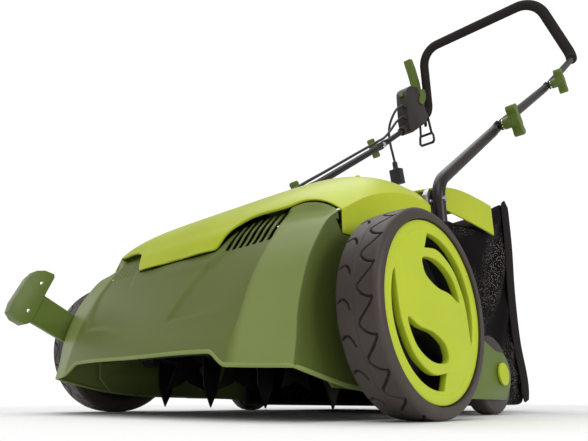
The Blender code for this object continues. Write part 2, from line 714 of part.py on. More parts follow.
def make_loop():
    bends = [GRIP_LOW_BEND, GRIP_TOP_BEND, GRIP_TOP_BEND, GRIP_LOW_BEND]
    low = short_of(JOINT_2, (GRIP_LOW[1], GRIP_LOW[2]), 0.020)
    loop = tube("loop", rounded_path(grip_corners((TUBE_X, *low)), bends), LOOP_R, None)
    tabs = [tab(JOINT_2, (GRIP_LOW[1], GRIP_LOW[2]), False, side) for side, _ in SIDES]
    join_bodies("upper_loop", TUBE, loop, *tabs)
    along = (Vector(GRIP_LOW) - Vector((TUBE_X, *low))).normalized()
    start = Vector(GRIP_LOW) - along * 0.0270
    foam = tube("foam_grip", rounded_path(grip_corners(tuple(start)), bends), FOAM_R, FOAM)
    longer = Vector(GRIP_LOW) - along * 0.060
    core = tube("foam_core", rounded_path(grip_corners(tuple(longer)), bends), LOOP_R + 2 * GAP, None,
                collection=cutters)
    cut(foam, core)


def make_bolt(name, joint, side, head_in, shank_out, washer=()):
    """A headed bolt along X, pushed in from the machine's middle, with washer discs of (low, high) on it."""
    low, high = mirrored((head_in + 0.002, shank_out), side)
    shank = rod("shank", joint, BOLT_R, low, high, None, 16)
    low, high = mirrored((head_in, head_in + 0.0050), side)
    discs = [rod("head", joint, 0.0070, low, high, None)]
    if washer:
        low, high = mirrored(washer, side)
        discs.append(rod("washer", joint, 0.0085, low, high, None))
    join_bodies(name, CHROME, shank, *discs)


def make_bolts():
    for side, label in SIDES:
        low, high = mirrored((PLATE_OUT + GAP, TUBE_X - TUBE_R - GAP), side)
        outline = [(0.136, 0.120), (0.136, 0.262), (0.143, 0.272), (0.157, 0.272), (0.164, 0.262),
                   (0.164, 0.120)]
        plate("handle_bracket_" + label, [outline, ring_points(TUBE_BOLT, BOLT_HOLE_R, 16)], low, high, STEEL)
        make_bolt("base_bolt_" + label, TUBE_BOLT, side, PLATE_OUT - 0.0050, 0.2255)
        for joint, place_name in ((JOINT_1, "lower"), (JOINT_2, "upper")):
            head_in = TUBE_X - 2 * TAB - 2 * GAP - 0.0050
            make_bolt("bolt_" + place_name + "_" + label, joint, side, head_in, KNOB_WING_IN,
                      (WASHER_IN, WASHER_OUT))


def knob_outline(joint):
    """The two wings of a turn knob, set square to the middle tube."""
    lean = math.atan2(JOINT_2[1] - JOINT_1[1], JOINT_2[0] - JOINT_1[0]) + math.pi / 2
    shape = []
    for end in (0.0, math.pi):
        a = lean + end
        for along, across in ((0.006, -0.009), (0.012, -0.0062), (0.021, -0.0085), (0.026, -0.0050),
                              (0.026, 0.0050), (0.021, 0.0085), (0.012, 0.0062), (0.006, 0.009)):
            shape.append((joint[0] + along * math.cos(a) - across * math.sin(a),
                          joint[1] + along * math.sin(a) + across * math.cos(a)))
    return shape


def make_knobs():
    for joint, place_name in ((JOINT_1, "lower"), (JOINT_2, "upper")):
        for side, label in SIDES:
            low, high = mirrored((KNOB_WING_IN, KNOB_OUT), side)
            wings = plate("wings", [knob_outline(joint)], low, high, None)
            low, high = mirrored((KNOB_IN, KNOB_WING_IN + 0.0030), side)
            hub = rod("hub", joint, 0.0100, low, high, None)
            knob = join_bodies("knob_" + place_name + "_" + label, LEAF, wings, hub)
            low, high = mirrored((TUBE_X, KNOB_WING_IN + 0.0010), side)
            cut(knob, rod("knob_cut", joint, BOLT_HOLE_R, low, high, None, 16, cutters))


# ---- switch box, bail, hook and cords (all on the right tube) -----------------------------------------------
def make_switch_box():
    outline = [(0.798, 0.774), (0.808, 0.745), (0.818, 0.744), (0.903, 0.809), (0.909, 0.820), (0.911, 0.838),
               (0.872, 0.902), (0.862, 0.910), (0.820, 0.896), (0.804, 0.882), (0.798, 0.868)]
    low = Vector((-TUBE_X, *JOINT_2))
    high = Vector((-GRIP_LOW[0], GRIP_LOW[1], GRIP_LOW[2]))
    case = plate("case", [outline], -0.2300, -0.1950, None)
    collar = tube("collar", [low.lerp(high, 0.38), low.lerp(high, 0.50)], 0.0120, None, 16)
    case = join_bodies("switch_box", DARK, case, collar)
    bore = tube("tube_cut", [low.lerp(high, 0.2), low.lerp(high, 1.1)], LOOP_R + 2 * GAP, None,
                collection=cutters)
    well = box("button_cut", *around(BUTTON, (0.0120, 0.0360, 0.0120)), None, cutters)
    slot = box("bail_cut", (-0.2205, 0.862, 0.876), (-0.2045, 0.935, 0.930), None, cutters)
    cut(case, bore, well, slot)
    box("safety_button", *around(BUTTON, (0.0110, 0.0250, 0.0110)), LEAF)


def make_bail():
    """The bail: a broad blade beside the grip, bridged to a cheek that lies on the switch box's inner face."""
    outline = [(0.884, 0.886), (0.894, 0.882), (0.905, 0.890), (0.906, 0.905), (0.898, 0.945),
               (0.880, 0.985), (0.862, 1.012), (0.846, 1.006), (0.850, 0.996), (0.868, 0.962),
               (0.882, 0.925), (0.882, 0.900)]
    over_box = [(0.885, 0.893), (0.896, 0.886), (0.905, 0.891), (0.906, 0.905), (0.902, 0.918), (0.885, 0.912)]
    beside_box = [(0.864, 0.866), (0.872, 0.858), (0.888, 0.862), (0.904, 0.888), (0.906, 0.904),
                  (0.902, 0.918), (0.885, 0.914), (0.872, 0.886)]
    lever = plate("lever", [outline], -0.2260, -0.2045, None)
    bridge = plate("bridge", [over_box], -0.2060, -0.1930, None)
    cheek = plate("cheek", [beside_box], -0.1947, -0.1917, None)
    join_bodies("bail_lever", LEAF, lever, bridge, cheek)


def make_cord_hook():
    """A flat hook that hangs from the tube: a collar, a slot with a tongue and a wide loop below it."""
    outline = [(-0.014, 0.008), (-0.016, -0.014), (-0.017, -0.060), (-0.020, -0.070), (-0.021, -0.090),
               (-0.015, -0.098), (0.026, -0.098), (0.031, -0.090), (0.030, -0.072), (0.024, -0.058),
               (0.018, -0.014), (0.014, 0.008), (0.008, 0.0165), (-0.008, 0.0165)]
    ring = [(LOOP_R * 1.10 * math.cos(2 * math.pi * i / 16), LOOP_R * 1.62 * math.sin(2 * math.pi * i / 16))
            for i in range(16)]
    slot = [(-0.011, -0.022), (-0.012, -0.061), (0.019, -0.061), (0.013, -0.022), (0.009, -0.018),
            (0.008, -0.036), (0.001, -0.036), (0.001, -0.018), (-0.008, -0.018)]
    loop = [(-0.014, -0.067), (-0.0155, -0.088), (-0.011, -0.092), (0.022, -0.092), (0.026, -0.088),
            (0.025, -0.073), (0.022, -0.067)]
    # drawn as (y, z), then turned so that the sheet faces along Y
    hook = plate("cord_hook", [outline, ring, slot, loop], -0.0025, 0.0025, BLACK)
    hook.data.transform(Matrix.Rotation(math.radians(-90), 4, "Z") @ hook.matrix_basis)
    hook.matrix_basis = Matrix.Translation(HOOK_CENTRE)


LEAD_ROUTE = [(-0.205, 0.7974, 0.786), (-0.205, 0.7880, 0.786), (-0.212, 0.762, 0.762),
              (-0.216, 0.732, 0.724), (-0.216, 0.700, 0.691), (-0.216, 0.664, 0.6655),
              (-0.216, 0.560, 0.5925), (-0.216, 0.450, 0.5150), (-0.216, 0.383, 0.4685),
              (-0.216, 0.330, 0.4300), (-0.216, 0.240, 0.3635), (-0.213, 0.196, 0.3300),
              (-0.200, 0.168, 0.3120), (-0.188, 0.154, 0.3030)]
PIGTAIL_ROUTE = [(-0.205, 0.7974, 0.822), (-0.205, 0.7880, 0.822), (-0.219, 0.772, 0.804),
                 (-0.237, 0.768, 0.770), (-0.245, 0.770, 0.738), (-0.246, 0.777, 0.704),
                 (-0.2445, 0.784, 0.676), (-0.2435, 0.788, 0.6570)]
CORD_R = 0.0035
PLUG_TOP = (-0.2435, 0.788, 0.6568)
PLUG_LEAN = math.radians(12)
PLUG_MIDDLE = 0.044       # from the plug's top to the middle of its body


def make_cords():
    tube("power_lead", smooth_route(LEAD_ROUTE, 0.022), CORD_R, BLACK, 8)
    tube("pigtail", smooth_route(PIGTAIL_ROUTE, 0.012), CORD_R, BLACK, 8)
    neck = box("neck", (-0.0060, -0.0055, -0.024), (0.0060, 0.0055, -GAP), None)
    body = box("body", (-0.0170, -0.0110, -0.066), (0.0170, 0.0110, -0.022), None)
    plug = join_bodies("plug", BLACK, body, neck)
    # the joined mesh is drawn about the body's middle, so it is moved to hang from the plug's top
    plug.data.transform(Matrix.Translation((0.0, 0.0, -PLUG_MIDDLE)))
    plug.matrix_basis = Matrix.Translation(PLUG_TOP) @ Matrix.Rotation(PLUG_LEAN, 4, "X")


# ---- flap and bag -------------------------------------------------------------------------------------------
def make_flap():
    stations = [(0.1765, 0.2855), (0.205, 0.2935), (0.246, 0.3005), (0.293, 0.3030), (0.347, 0.3030)]
    hem = [0.2600, 0.2595, 0.2590, 0.2580, 0.2555]
    xs = [0.200, 0.188, 0.150, 0.100, 0.050, 0.0]
    columns = [[(0.200, y, low) for (y, _), low in zip(stations, hem)],
               [(0.200, y, (low + top) / 2) for (y, top), low in zip(stations, hem)]]
    for x in xs:
        crown = 0.008 * (1 - (x / 0.200) ** 3)
        columns.append([(x, y, top + crown) for y, top in stations])
    mirror = [[(-x, y, z) for x, y, z in column] for column in reversed(columns[:-1])]
    return grid_shell("rear_flap", columns + mirror, 0.0035, LIME)


def make_bag():
    side = [(0.1965, 0.010), (0.428, 0.009), (0.438, 0.036), (0.428, 0.100), (0.430, 0.180), (0.442, 0.263),
            (0.446, 0.336), (0.436, 0.342), (0.356, 0.292), (0.1965, 0.258)]
    inside = [(0.180, 0.016), (0.424, 0.015), (0.430, 0.036), (0.421, 0.100), (0.423, 0.180), (0.435, 0.263),
              (0.438, 0.330), (0.358, 0.286), (0.180, 0.248)]
    bag = plate("bag", [side], -BAG_HALF, BAG_HALF, CLOTH)
    cut(bag, plate("bag_cut", [inside], -BAG_HALF + BAG_WALL, BAG_HALF - BAG_WALL, None, cutters))
    corners = [(-1, BAG_FRAME_LOW), (1, BAG_FRAME_LOW), (1, BAG_FRAME_HIGH), (-1, BAG_FRAME_HIGH)]
    path = [(side * BAG_FRAME_HALF, BAG_FRAME_Y, z) for side, z in corners]
    tube("bag_frame", path, BAG_FRAME_R, BLACK_STEEL, 8, ring=True)


# ---- moving bodies ------------------------------------------------------------------------------------------
standing = {root: Vector((0.0, 0.0, 0.0))}


def hang(pivot, parent, point, names):
    """Stands an empty on a joint's axis and hangs the named objects on it, without moving them."""
    empty = bpy.data.objects.new(pivot, None)
    parts.objects.link(empty)
    empty.parent = parent
    empty.location = Vector(point) - standing[parent]
    standing[empty] = Vector(point)
    for name in names:
        obj = bpy.data.objects[name]
        obj.parent = empty
        obj.location = obj.location - standing[empty]
    return empty


def hang_moving_pieces():
    crank = hang("crank_axis", root, (0.0, *CRANK), ["crank_shaft", "depth_lever", *both("crank_arm")])
    middle = hang("lower_fold", root, (0.0, *JOINT_1), both("middle_tube") + both("bolt_upper"))
    upper = hang("upper_fold", middle, (0.0, *JOINT_2),
                 ["upper_loop", "foam_grip", "switch_box", "pigtail", "plug"])
    for side, label in SIDES:
        wheel = ["front_tyre_" + label, "front_rim_" + label, "hub_cover_" + label]
        hang("front_wheel_axis_" + label, crank, (side * WHEEL_IN, 0.0, WHEEL_R), wheel)
        hang("rear_wheel_axis_" + label, root, (side * REAR_WHEEL_IN, *REAR_AXLE), ["rear_wheel_" + label])
        hang("lower_knob_axis_" + label, root, (side * KNOB_X, *JOINT_1), ["knob_lower_" + label])
        hang("upper_knob_axis_" + label, middle, (side * KNOB_X, *JOINT_2), ["knob_upper_" + label])
    blades = ["blade_reel_" + label for label, _, _ in REEL_PARTS]
    hang("reel_axis", root, (0.0, *REEL), ["reel_shaft", "reel_pulley"] + blades)
    hang("motor_axis", root, (0.0, *MOTOR), ["motor_pulley"])
    hang("flap_hinge", root, (0.0, *FLAP_HINGE), ["rear_flap"])
    hang("bag_rest", root, (0.0, BAG_FRAME_Y, BAG_FRAME_HIGH), ["bag", "bag_frame"])
    hang("bail_pivot", upper, BAIL_PIVOT, ["bail_lever"])
    hang("button_guide", upper, BUTTON, ["safety_button"])
    hang("hook_collar", upper, HOOK_CENTRE, ["cord_hook"])


make_front_shell()
make_hood()
make_side_plates()
make_reel_baffle()
make_rear_brackets()
make_reel()
make_drive()
make_front_wheels()
make_rear_wheels()
make_crank()
make_depth_lever()
make_straight_tubes()
make_loop()
make_bolts()
make_knobs()
make_switch_box()
make_bail()
make_cord_hook()
make_cords()
make_flap()
make_bag()
hang_moving_pieces()
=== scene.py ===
import json
import math

import bmesh
import bpy
import numpy as np
from mathutils import Matrix, Vector

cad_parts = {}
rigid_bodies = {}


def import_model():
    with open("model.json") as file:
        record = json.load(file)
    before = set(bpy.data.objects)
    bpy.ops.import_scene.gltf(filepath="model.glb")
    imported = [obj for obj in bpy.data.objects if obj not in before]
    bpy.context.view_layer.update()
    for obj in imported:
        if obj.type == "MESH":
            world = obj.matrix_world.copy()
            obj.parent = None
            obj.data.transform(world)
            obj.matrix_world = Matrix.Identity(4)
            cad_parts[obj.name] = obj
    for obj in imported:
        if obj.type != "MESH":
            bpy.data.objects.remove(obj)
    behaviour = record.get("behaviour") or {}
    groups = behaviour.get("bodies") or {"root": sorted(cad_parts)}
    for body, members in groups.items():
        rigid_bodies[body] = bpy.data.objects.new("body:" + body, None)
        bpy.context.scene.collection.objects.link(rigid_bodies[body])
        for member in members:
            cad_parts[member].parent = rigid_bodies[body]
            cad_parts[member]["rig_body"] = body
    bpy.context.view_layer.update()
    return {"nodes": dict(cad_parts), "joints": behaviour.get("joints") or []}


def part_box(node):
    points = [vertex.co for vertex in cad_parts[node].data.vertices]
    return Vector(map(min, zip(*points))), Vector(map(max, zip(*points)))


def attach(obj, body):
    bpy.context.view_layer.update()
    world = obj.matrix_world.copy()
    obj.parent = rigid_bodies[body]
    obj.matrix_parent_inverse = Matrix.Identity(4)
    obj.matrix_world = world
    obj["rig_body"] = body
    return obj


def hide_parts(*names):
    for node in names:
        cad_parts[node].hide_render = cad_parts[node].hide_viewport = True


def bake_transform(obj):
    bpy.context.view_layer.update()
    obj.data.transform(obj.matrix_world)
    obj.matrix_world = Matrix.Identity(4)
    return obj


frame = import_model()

JOINTS = {j["name"]: j for j in frame["joints"]}
SIDES = ((1, "left"), (-1, "right"))


def joint_at(name):
    """A joint's place as (x, y, z), with y from the front axle."""
    x, y, z = JOINTS[name]["pos_m"]
    return x, y - AXLE_Y, z


AXLE_Y = JOINTS["front_wheel_left_spin"]["pos_m"][1]
WHEEL_R = JOINTS["front_wheel_left_spin"]["pos_m"][2]
JOINT_1 = joint_at("handle_fold_lower")[1:]
JOINT_2 = joint_at("handle_fold_upper")[1:]
WHEEL_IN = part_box("front_tyre_left")[0].x
WHEEL_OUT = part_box("front_tyre_left")[1].x
HALF_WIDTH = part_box("hood")[1].x
COVER_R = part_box("hub_cover_left")[1].z - WHEEL_R
COVER_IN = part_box("hub_cover_left")[0].x
COVER_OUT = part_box("hub_cover_left")[1].x
BAG_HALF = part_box("bag")[1].x


def at(x, y, z):
    return Vector((x, y + AXLE_Y, z))


# ---- materials ----
def parts_of(mat):
    tree = mat.node_tree
    return tree.nodes, tree.links, tree.nodes["Principled BSDF"]


def new_material(name, colour, roughness, metallic=0.0, gloss=0.5):
    mat = bpy.data.materials.new(name)
    mat.use_nodes = True
    _, _, bsdf = parts_of(mat)
    bsdf.inputs["Base Color"].default_value = (*colour, 1.0)
    bsdf.inputs["Roughness"].default_value = roughness
    bsdf.inputs["Metallic"].default_value = metallic
    bsdf.inputs["Specular IOR Level"].default_value = gloss
    return mat


def noise_node(mat, scale, detail=4.0, stretch=(1.0, 1.0, 1.0)):
    """A noise texture in metres of the object's own space."""
    nodes, links, _ = parts_of(mat)
    coord = nodes.new("ShaderNodeTexCoord")
    mapping = nodes.new("ShaderNodeMapping")
    mapping.inputs["Scale"].default_value = stretch
    texture = nodes.new("ShaderNodeTexNoise")
    texture.inputs["Scale"].default_value = scale
    texture.inputs["Detail"].default_value = detail
    links.new(coord.outputs["Object"], mapping.inputs["Vector"])
    links.new(mapping.outputs["Vector"], texture.inputs["Vector"])
    return texture


def vary_colour(mat, colour, scale, spread):
    """Lighter and darker patches."""
    nodes, links, bsdf = parts_of(mat)
    texture = noise_node(mat, scale)
    tones = nodes.new("ShaderNodeValToRGB")
    tones.color_ramp.elements[0].position = 0.3
    tones.color_ramp.elements[1].position = 0.7
    tones.color_ramp.elements[0].color = (*[c * (1 - spread) for c in colour], 1.0)
    tones.color_ramp.elements[1].color = (*[min(1.0, c * (1 + spread)) for c in colour], 1.0)
    links.new(texture.outputs["Fac"], tones.inputs["Fac"])
    links.new(tones.outputs["Color"], bsdf.inputs["Base Color"])


def vary_roughness(mat, scale, low, high):
    nodes, links, bsdf = parts_of(mat)
    texture = noise_node(mat, scale)
    spread = nodes.new("ShaderNodeMapRange")
    spread.inputs["To Min"].default_value = low
    spread.inputs["To Max"].default_value = high
    links.new(texture.outputs["Fac"], spread.inputs["Value"])
    links.new(spread.outputs["Result"], bsdf.inputs["Roughness"])


def grain(mat, scale, depth, stretch=(1.0, 1.0, 1.0)):
    """A bump of this depth in metres."""
    nodes, links, bsdf = parts_of(mat)
    texture = noise_node(mat, scale, 3.0, stretch)
    bump = nodes.new("ShaderNodeBump")
    bump.inputs["Distance"].default_value = depth
    links.new(texture.outputs["Fac"], bump.inputs["Height"])
    links.new(bump.outputs["Normal"], bsdf.inputs["Normal"])


def plastic(name, colour, low, high, grain_scale, grain_depth, spread=0.04, gloss=0.5):
    """Plastic with roughness from low to high and a bump of grain_depth metres."""
    mat = new_material(name, colour, low, gloss=gloss)
    vary_colour(mat, colour, 14.0, spread)
    vary_roughness(mat, 35.0, low, high)
    grain(mat, grain_scale, grain_depth)
    return mat


# Olive tones across |x|: the lighter pillars against the sunk panel are partly the plastic's own tone and
# partly painted light; the darker flanks are painted shade where the wheels shade them.
PILLAR_OLIVE_AND_PAINTED_LIGHT = (0.205, 0.260, 0.075)
PANEL_OLIVE = (0.125, 0.160, 0.036)
FLANK_PAINTED_SHADE = (0.085, 0.115, 0.022)
PANEL_BORDER = (0.149, 0.163)        # from where to where, in |x|, one tone gives way to the next
FLANK_SHADE_BORDER = (0.2140, 0.2158)


def shell_material():
    """The housing's olive plastic: lighter on the pillars than on the sunk middle panel, partly the plastic's
    own tone and partly painted light on the pillars, and darker on the flanks, which is painted shade.
    """
    mat = plastic("olive_shell_painted_light_and_shade", PILLAR_OLIVE_AND_PAINTED_LIGHT, 0.40, 0.50, 900.0, 0.00002, gloss=0.3)
    nodes, links, bsdf = parts_of(mat)
    mottled = bsdf.inputs["Base Color"].links[0].from_socket
    coord = nodes.new("ShaderNodeTexCoord")
    split = nodes.new("ShaderNodeSeparateXYZ")
    across = nodes.new("ShaderNodeMath")
    across.operation = "ABSOLUTE"
    links.new(coord.outputs["Object"], split.inputs["Vector"])
    links.new(split.outputs["X"], across.inputs[0])
    # Mixes in the sunk panel's olive between the pillars and the painted shade on the flanks.
    for (start, end), first, colour in ((PANEL_BORDER, True, PANEL_OLIVE), (FLANK_SHADE_BORDER, False, FLANK_PAINTED_SHADE)):
        share = nodes.new("ShaderNodeMapRange")
        share.interpolation_type = "SMOOTHSTEP"
        share.inputs["From Min"].default_value = start
        share.inputs["From Max"].default_value = end
        mix = nodes.new("ShaderNodeMix")
        mix.data_type = "RGBA"
        links.new(across.outputs["Value"], share.inputs["Value"])
        links.new(share.outputs["Result"], mix.inputs["Factor"])
        links.new(mottled, mix.inputs["B" if first else "A"])
        mix.inputs["A" if first else "B"].default_value = (*colour, 1.0)
        mottled = mix.outputs["Result"]
    links.new(mottled, bsdf.inputs["Base Color"])
    return mat


def worn_metal(name, colour, low, high, metallic, bump_depth=0.00005, gloss=0.5):
    mat = new_material(name, colour, low, metallic, gloss)
    vary_colour(mat, colour, 90.0, 0.15)
    vary_roughness(mat, 160.0, low, high)
    grain(mat, 900.0, bump_depth, (0.15, 1.0, 1.0))
    return mat


def bag_material():
    """Black mesh cloth: a fine net, with painted glints in scattered specks where its threads catch the light.
    """
    base = (0.006, 0.005, 0.0055)
    mat = new_material("bag_mesh", base, 0.9, gloss=0.08)
    nodes, links, bsdf = parts_of(mat)
    coord = nodes.new("ShaderNodeTexCoord")
    dots = nodes.new("ShaderNodeTexVoronoi")
    dots.inputs["Scale"].default_value = 430.0
    near = nodes.new("ShaderNodeMath")
    near.operation = "LESS_THAN"
    near.inputs[1].default_value = 0.25
    patches = noise_node(mat, 11.0, 2.0)
    glint_patch_range = nodes.new("ShaderNodeMapRange")
    glint_patch_range.inputs["From Min"].default_value = 0.44
    glint_patch_range.inputs["From Max"].default_value = 0.60
    painted_glint_mask = nodes.new("ShaderNodeMath")
    painted_glint_mask.operation = "MULTIPLY"
    mix = nodes.new("ShaderNodeMix")
    mix.data_type = "RGBA"
    mix.inputs["A"].default_value = (*base, 1.0)
    # Painted glints: the specks' lighter colour stands in for light caught by the net's threads.
    mix.inputs["B"].default_value = (0.34, 0.30, 0.28, 1.0)
    bump = nodes.new("ShaderNodeBump")
    bump.inputs["Distance"].default_value = 0.0004
    bump.inputs["Strength"].default_value = 0.8
    links.new(coord.outputs["Object"], dots.inputs["Vector"])
    links.new(dots.outputs["Distance"], near.inputs[0])
    links.new(patches.outputs["Fac"], glint_patch_range.inputs["Value"])
    links.new(near.outputs["Value"], painted_glint_mask.inputs[0])
    links.new(glint_patch_range.outputs["Result"], painted_glint_mask.inputs[1])
    links.new(painted_glint_mask.outputs["Value"], mix.inputs["Factor"])
    links.new(mix.outputs["Result"], bsdf.inputs["Base Color"])
    links.new(dots.outputs["Distance"], bump.inputs["Height"])
    links.new(bump.outputs["Normal"], bsdf.inputs["Normal"])
    return mat


def hem_material():
    """Plain woven tape: crossed fine waves for its threads."""
    mat = new_material("bag_hem", (0.016, 0.012, 0.011), 0.8, gloss=0.15)
    nodes, links, bsdf = parts_of(mat)
    coord = nodes.new("ShaderNodeTexCoord")
    total = nodes.new("ShaderNodeMath")
    total.operation = "ADD"
    for i, direction in enumerate(("Y", "Z")):
        wave = nodes.new("ShaderNodeTexWave")
        wave.bands_direction = direction
        wave.inputs["Scale"].default_value = 420.0
        links.new(coord.outputs["Object"], wave.inputs["Vector"])
        links.new(wave.outputs["Fac"], total.inputs[i])
    bump = nodes.new("ShaderNodeBump")
    bump.inputs["Distance"].default_value = 0.0003
    links.new(total.outputs["Value"], bump.inputs["Height"])
    links.new(bump.outputs["Normal"], bsdf.inputs["Normal"])
    return mat


LIME = plastic("lime_gloss", (0.47, 0.55, 0.022), 0.30, 0.38, 220.0, 0.00001, gloss=0.22)
COVER_LIME = plastic("cover_lime", (0.47, 0.56, 0.026), 0.34, 0.42, 500.0, 0.00002, gloss=0.35)
OLIVE = plastic("olive_satin", (0.140, 0.180, 0.042), 0.40, 0.50, 900.0, 0.00002, gloss=0.3)
# A lighter copy of the housing's olive for the mouth's rim bead: a painted highlight along that edge.
RIM_OLIVE_PAINTED_HIGHLIGHT = plastic("rim_olive_painted_highlight", (0.23, 0.30, 0.080), 0.40, 0.50, 900.0, 0.00002, gloss=0.3)
SHELL_OLIVE = shell_material()
LEAF = plastic("leaf_satin", (0.115, 0.165, 0.030), 0.36, 0.48, 250.0, 0.000003, gloss=0.3)
DARK = plastic("dark_grained", (0.030, 0.024, 0.021), 0.34, 0.5, 700.0, 0.00002, gloss=0.3)
BLACK = plastic("black_satin", (0.012, 0.012, 0.012), 0.3, 0.45, 1400.0, 0.00005)
TYRE = plastic("tyre_brown", (0.050, 0.037, 0.032), 0.38, 0.55, 700.0, 0.00012, spread=0.12, gloss=0.35)
FOAM = plastic("foam_matt", (0.024, 0.019, 0.018), 0.85, 0.97, 650.0, 0.0005, spread=0.15, gloss=0.2)
CORD = plastic("cord_black", (0.014, 0.013, 0.013), 0.42, 0.55, 900.0, 0.00005)
BELT = plastic("belt_rubber", (0.018, 0.018, 0.018), 0.7, 0.85, 600.0, 0.0001)
TUBE = worn_metal("tube_paint", (0.014, 0.0095, 0.008), 0.28, 0.4, 0.0, 0.00002, 0.35)
STEEL = worn_metal("plain_steel", (0.42, 0.41, 0.40), 0.3, 0.45, 1.0)
BLACK_STEEL = worn_metal("black_steel", (0.018, 0.017, 0.017), 0.32, 0.5, 0.5)
CHROME = worn_metal("chrome", (0.78, 0.78, 0.77), 0.06, 0.14, 1.0, 0.00001)
MESH = bag_material()
HEM = hem_material()


# ---- helpers ----
def smooth(obj, angle=32.0):
    obj.data.shade_smooth()
    obj.data.set_sharp_from_angle(angle=math.radians(angle))
    return obj


def settle(obj, mat, body, slot, *nodes):
    """Gives a piece its material and body, and hides the CAD nodes it stands for."""
    obj.data.materials.clear()
    obj.data.materials.append(mat)
    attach(obj, body)
    if nodes:
        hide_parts(*nodes)
    return obj


def link(name, mesh):
    obj = bpy.data.objects.new(name, mesh)
    bpy.context.scene.collection.objects.link(obj)
    return obj


def from_bmesh(name, bm):
    bmesh.ops.recalc_face_normals(bm, faces=bm.faces)
    mesh = bpy.data.meshes.new(name)
    bm.to_mesh(mesh)
    bm.free()
    return link(name, mesh)


def final_mesh(obj):
    bpy.context.view_layer.update()
    graph = bpy.context.evaluated_depsgraph_get()
    return bpy.data.meshes.new_from_object(obj.evaluated_get(graph))


def baked(obj):
    """The object with its modifiers applied."""
    mesh = final_mesh(obj)
    obj.modifiers.clear()
    obj.data = mesh
    return obj


def refine(node, mat, slot, width, segments=2):
    """A piece with the CAD node's own shape, its flats made whole again and its edges rounded."""
    bm = bmesh.new()
    bm.from_mesh(frame["nodes"][node].data)
    bmesh.ops.remove_doubles(bm, verts=bm.verts, dist=0.00002)
    bmesh.ops.dissolve_limit(bm, angle_limit=math.radians(1.0), verts=bm.verts, edges=bm.edges)
    obj = from_bmesh(node + "_fine", bm)
    mod = obj.modifiers.new("round", "BEVEL")
    mod.width = width
    mod.segments = segments
    mod.limit_method = "ANGLE"
    mod.angle_limit = math.radians(30.0)
    return settle(smooth(baked(obj)), mat, frame["nodes"][node]["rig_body"], slot, node)


def dress(node, mat):
    """A CAD node that shows as it is, with a better material."""
    obj = frame["nodes"][node]
    obj.data.materials.clear()
    obj.data.materials.append(mat)


def value_at(line, t, along, out):
    """Smooth reading of a line of points: the 'out' value where the 'along' value is t."""
    pts = sorted(line, key=lambda p: p[along])
    if t <= pts[0][along]:
        return pts[0][out]
    if t >= pts[-1][along]:
        return pts[-1][out]
    i = next(k for k in range(len(pts) - 1) if pts[k + 1][along] >= t)
    slopes = [(b[out] - a[out]) / (b[along] - a[along]) for a, b in zip(pts, pts[1:])]

    def tangent(k):
        if k == 0 or k == len(pts) - 1:
            return slopes[min(k, len(slopes) - 1)]
        return (slopes[k - 1] + slopes[k]) / 2

    span = pts[i + 1][along] - pts[i][along]
    s = (t - pts[i][along]) / span
    a = pts[i][out]
    b = pts[i + 1][out]
    return (a * (1 + 2 * s) * (1 - s) ** 2 + b * s * s * (3 - 2 * s)
            + span * (tangent(i) * s * (1 - s) ** 2 - tangent(i + 1) * s * s * (1 - s)))


def between(low, high, count):
    return [low + (high - low) * i / (count - 1) for i in range(count)]


def ring_points(centre, radius, count, start=0.0, end=360.0):
    steps = count if abs(end - start) >= 360.0 else count - 1
    angles = [math.radians(start + (end - start) * i / steps) for i in range(count)]
    return [(centre[0] + radius * math.cos(a), centre[1] + radius * math.sin(a)) for a in angles]


def on_curve(a, b, c, d, s):
    """A point between b and c on a smooth curve through a, b, c and d."""
    return 0.5 * (2 * b + (c - a) * s + (2 * a - 5 * b + 4 * c - d) * s * s
                  + (3 * b - a - 3 * c + d) * s ** 3)


def smooth_route(points, spacing):
    """Points along a smooth curve through the given ones, about 'spacing' apart."""
    pts = [Vector(p) for p in points]
    pts = [2 * pts[0] - pts[1]] + pts + [2 * pts[-1] - pts[-2]]
    route = [pts[1]]
    for a, b, c, d in zip(pts, pts[1:], pts[2:], pts[3:]):
        count = max(1, round((c - b).length / spacing))
        route += [on_curve(a, b, c, d, k / count) for k in range(1, count + 1)]
    return route


def closed_route(points, per_span=6):
    """A smooth closed outline through 2D points."""
    pts = [Vector(p) for p in points]
    n = len(pts)
    route = []
    for i in range(n):
        a, b, c, d = pts[i - 1], pts[i], pts[(i + 1) % n], pts[(i + 2) % n]
        route += [on_curve(a, b, c, d, k / per_span) for k in range(per_span)]
    return route


def rounded_path(corners, radii, steps=12):
    """The corners joined by straight runs, with an arc of the given radius at each inner corner."""
    corners = [Vector(c) for c in corners]
    path = [corners[0]]
    for i, radius in enumerate(radii, start=1):
        back = (corners[i - 1] - corners[i]).normalized()
        ahead = (corners[i + 1] - corners[i]).normalized()
        half = back.angle(ahead) / 2
        centre = corners[i] + (back + ahead).normalized() * radius / math.sin(half)
        reach = radius / math.tan(half)
        start = corners[i] + back * reach - centre
        end = corners[i] + ahead * reach - centre
        sweep = start.angle(end)
        for k in range(steps + 1):
            s = k / steps
            point = (start * math.sin((1 - s) * sweep) + end * math.sin(s * sweep)) / math.sin(sweep)
            path.append(centre + point)
    path.append(corners[-1])
    return path


def evenly(path, spacing):
    """The path's points again, with no two further apart than 'spacing'."""
    route = [path[0]]
    for a, b in zip(path, path[1:]):
        count = max(1, math.ceil((b - a).length / spacing))
        route += [a.lerp(b, k / count) for k in range(1, count + 1)]
    return route


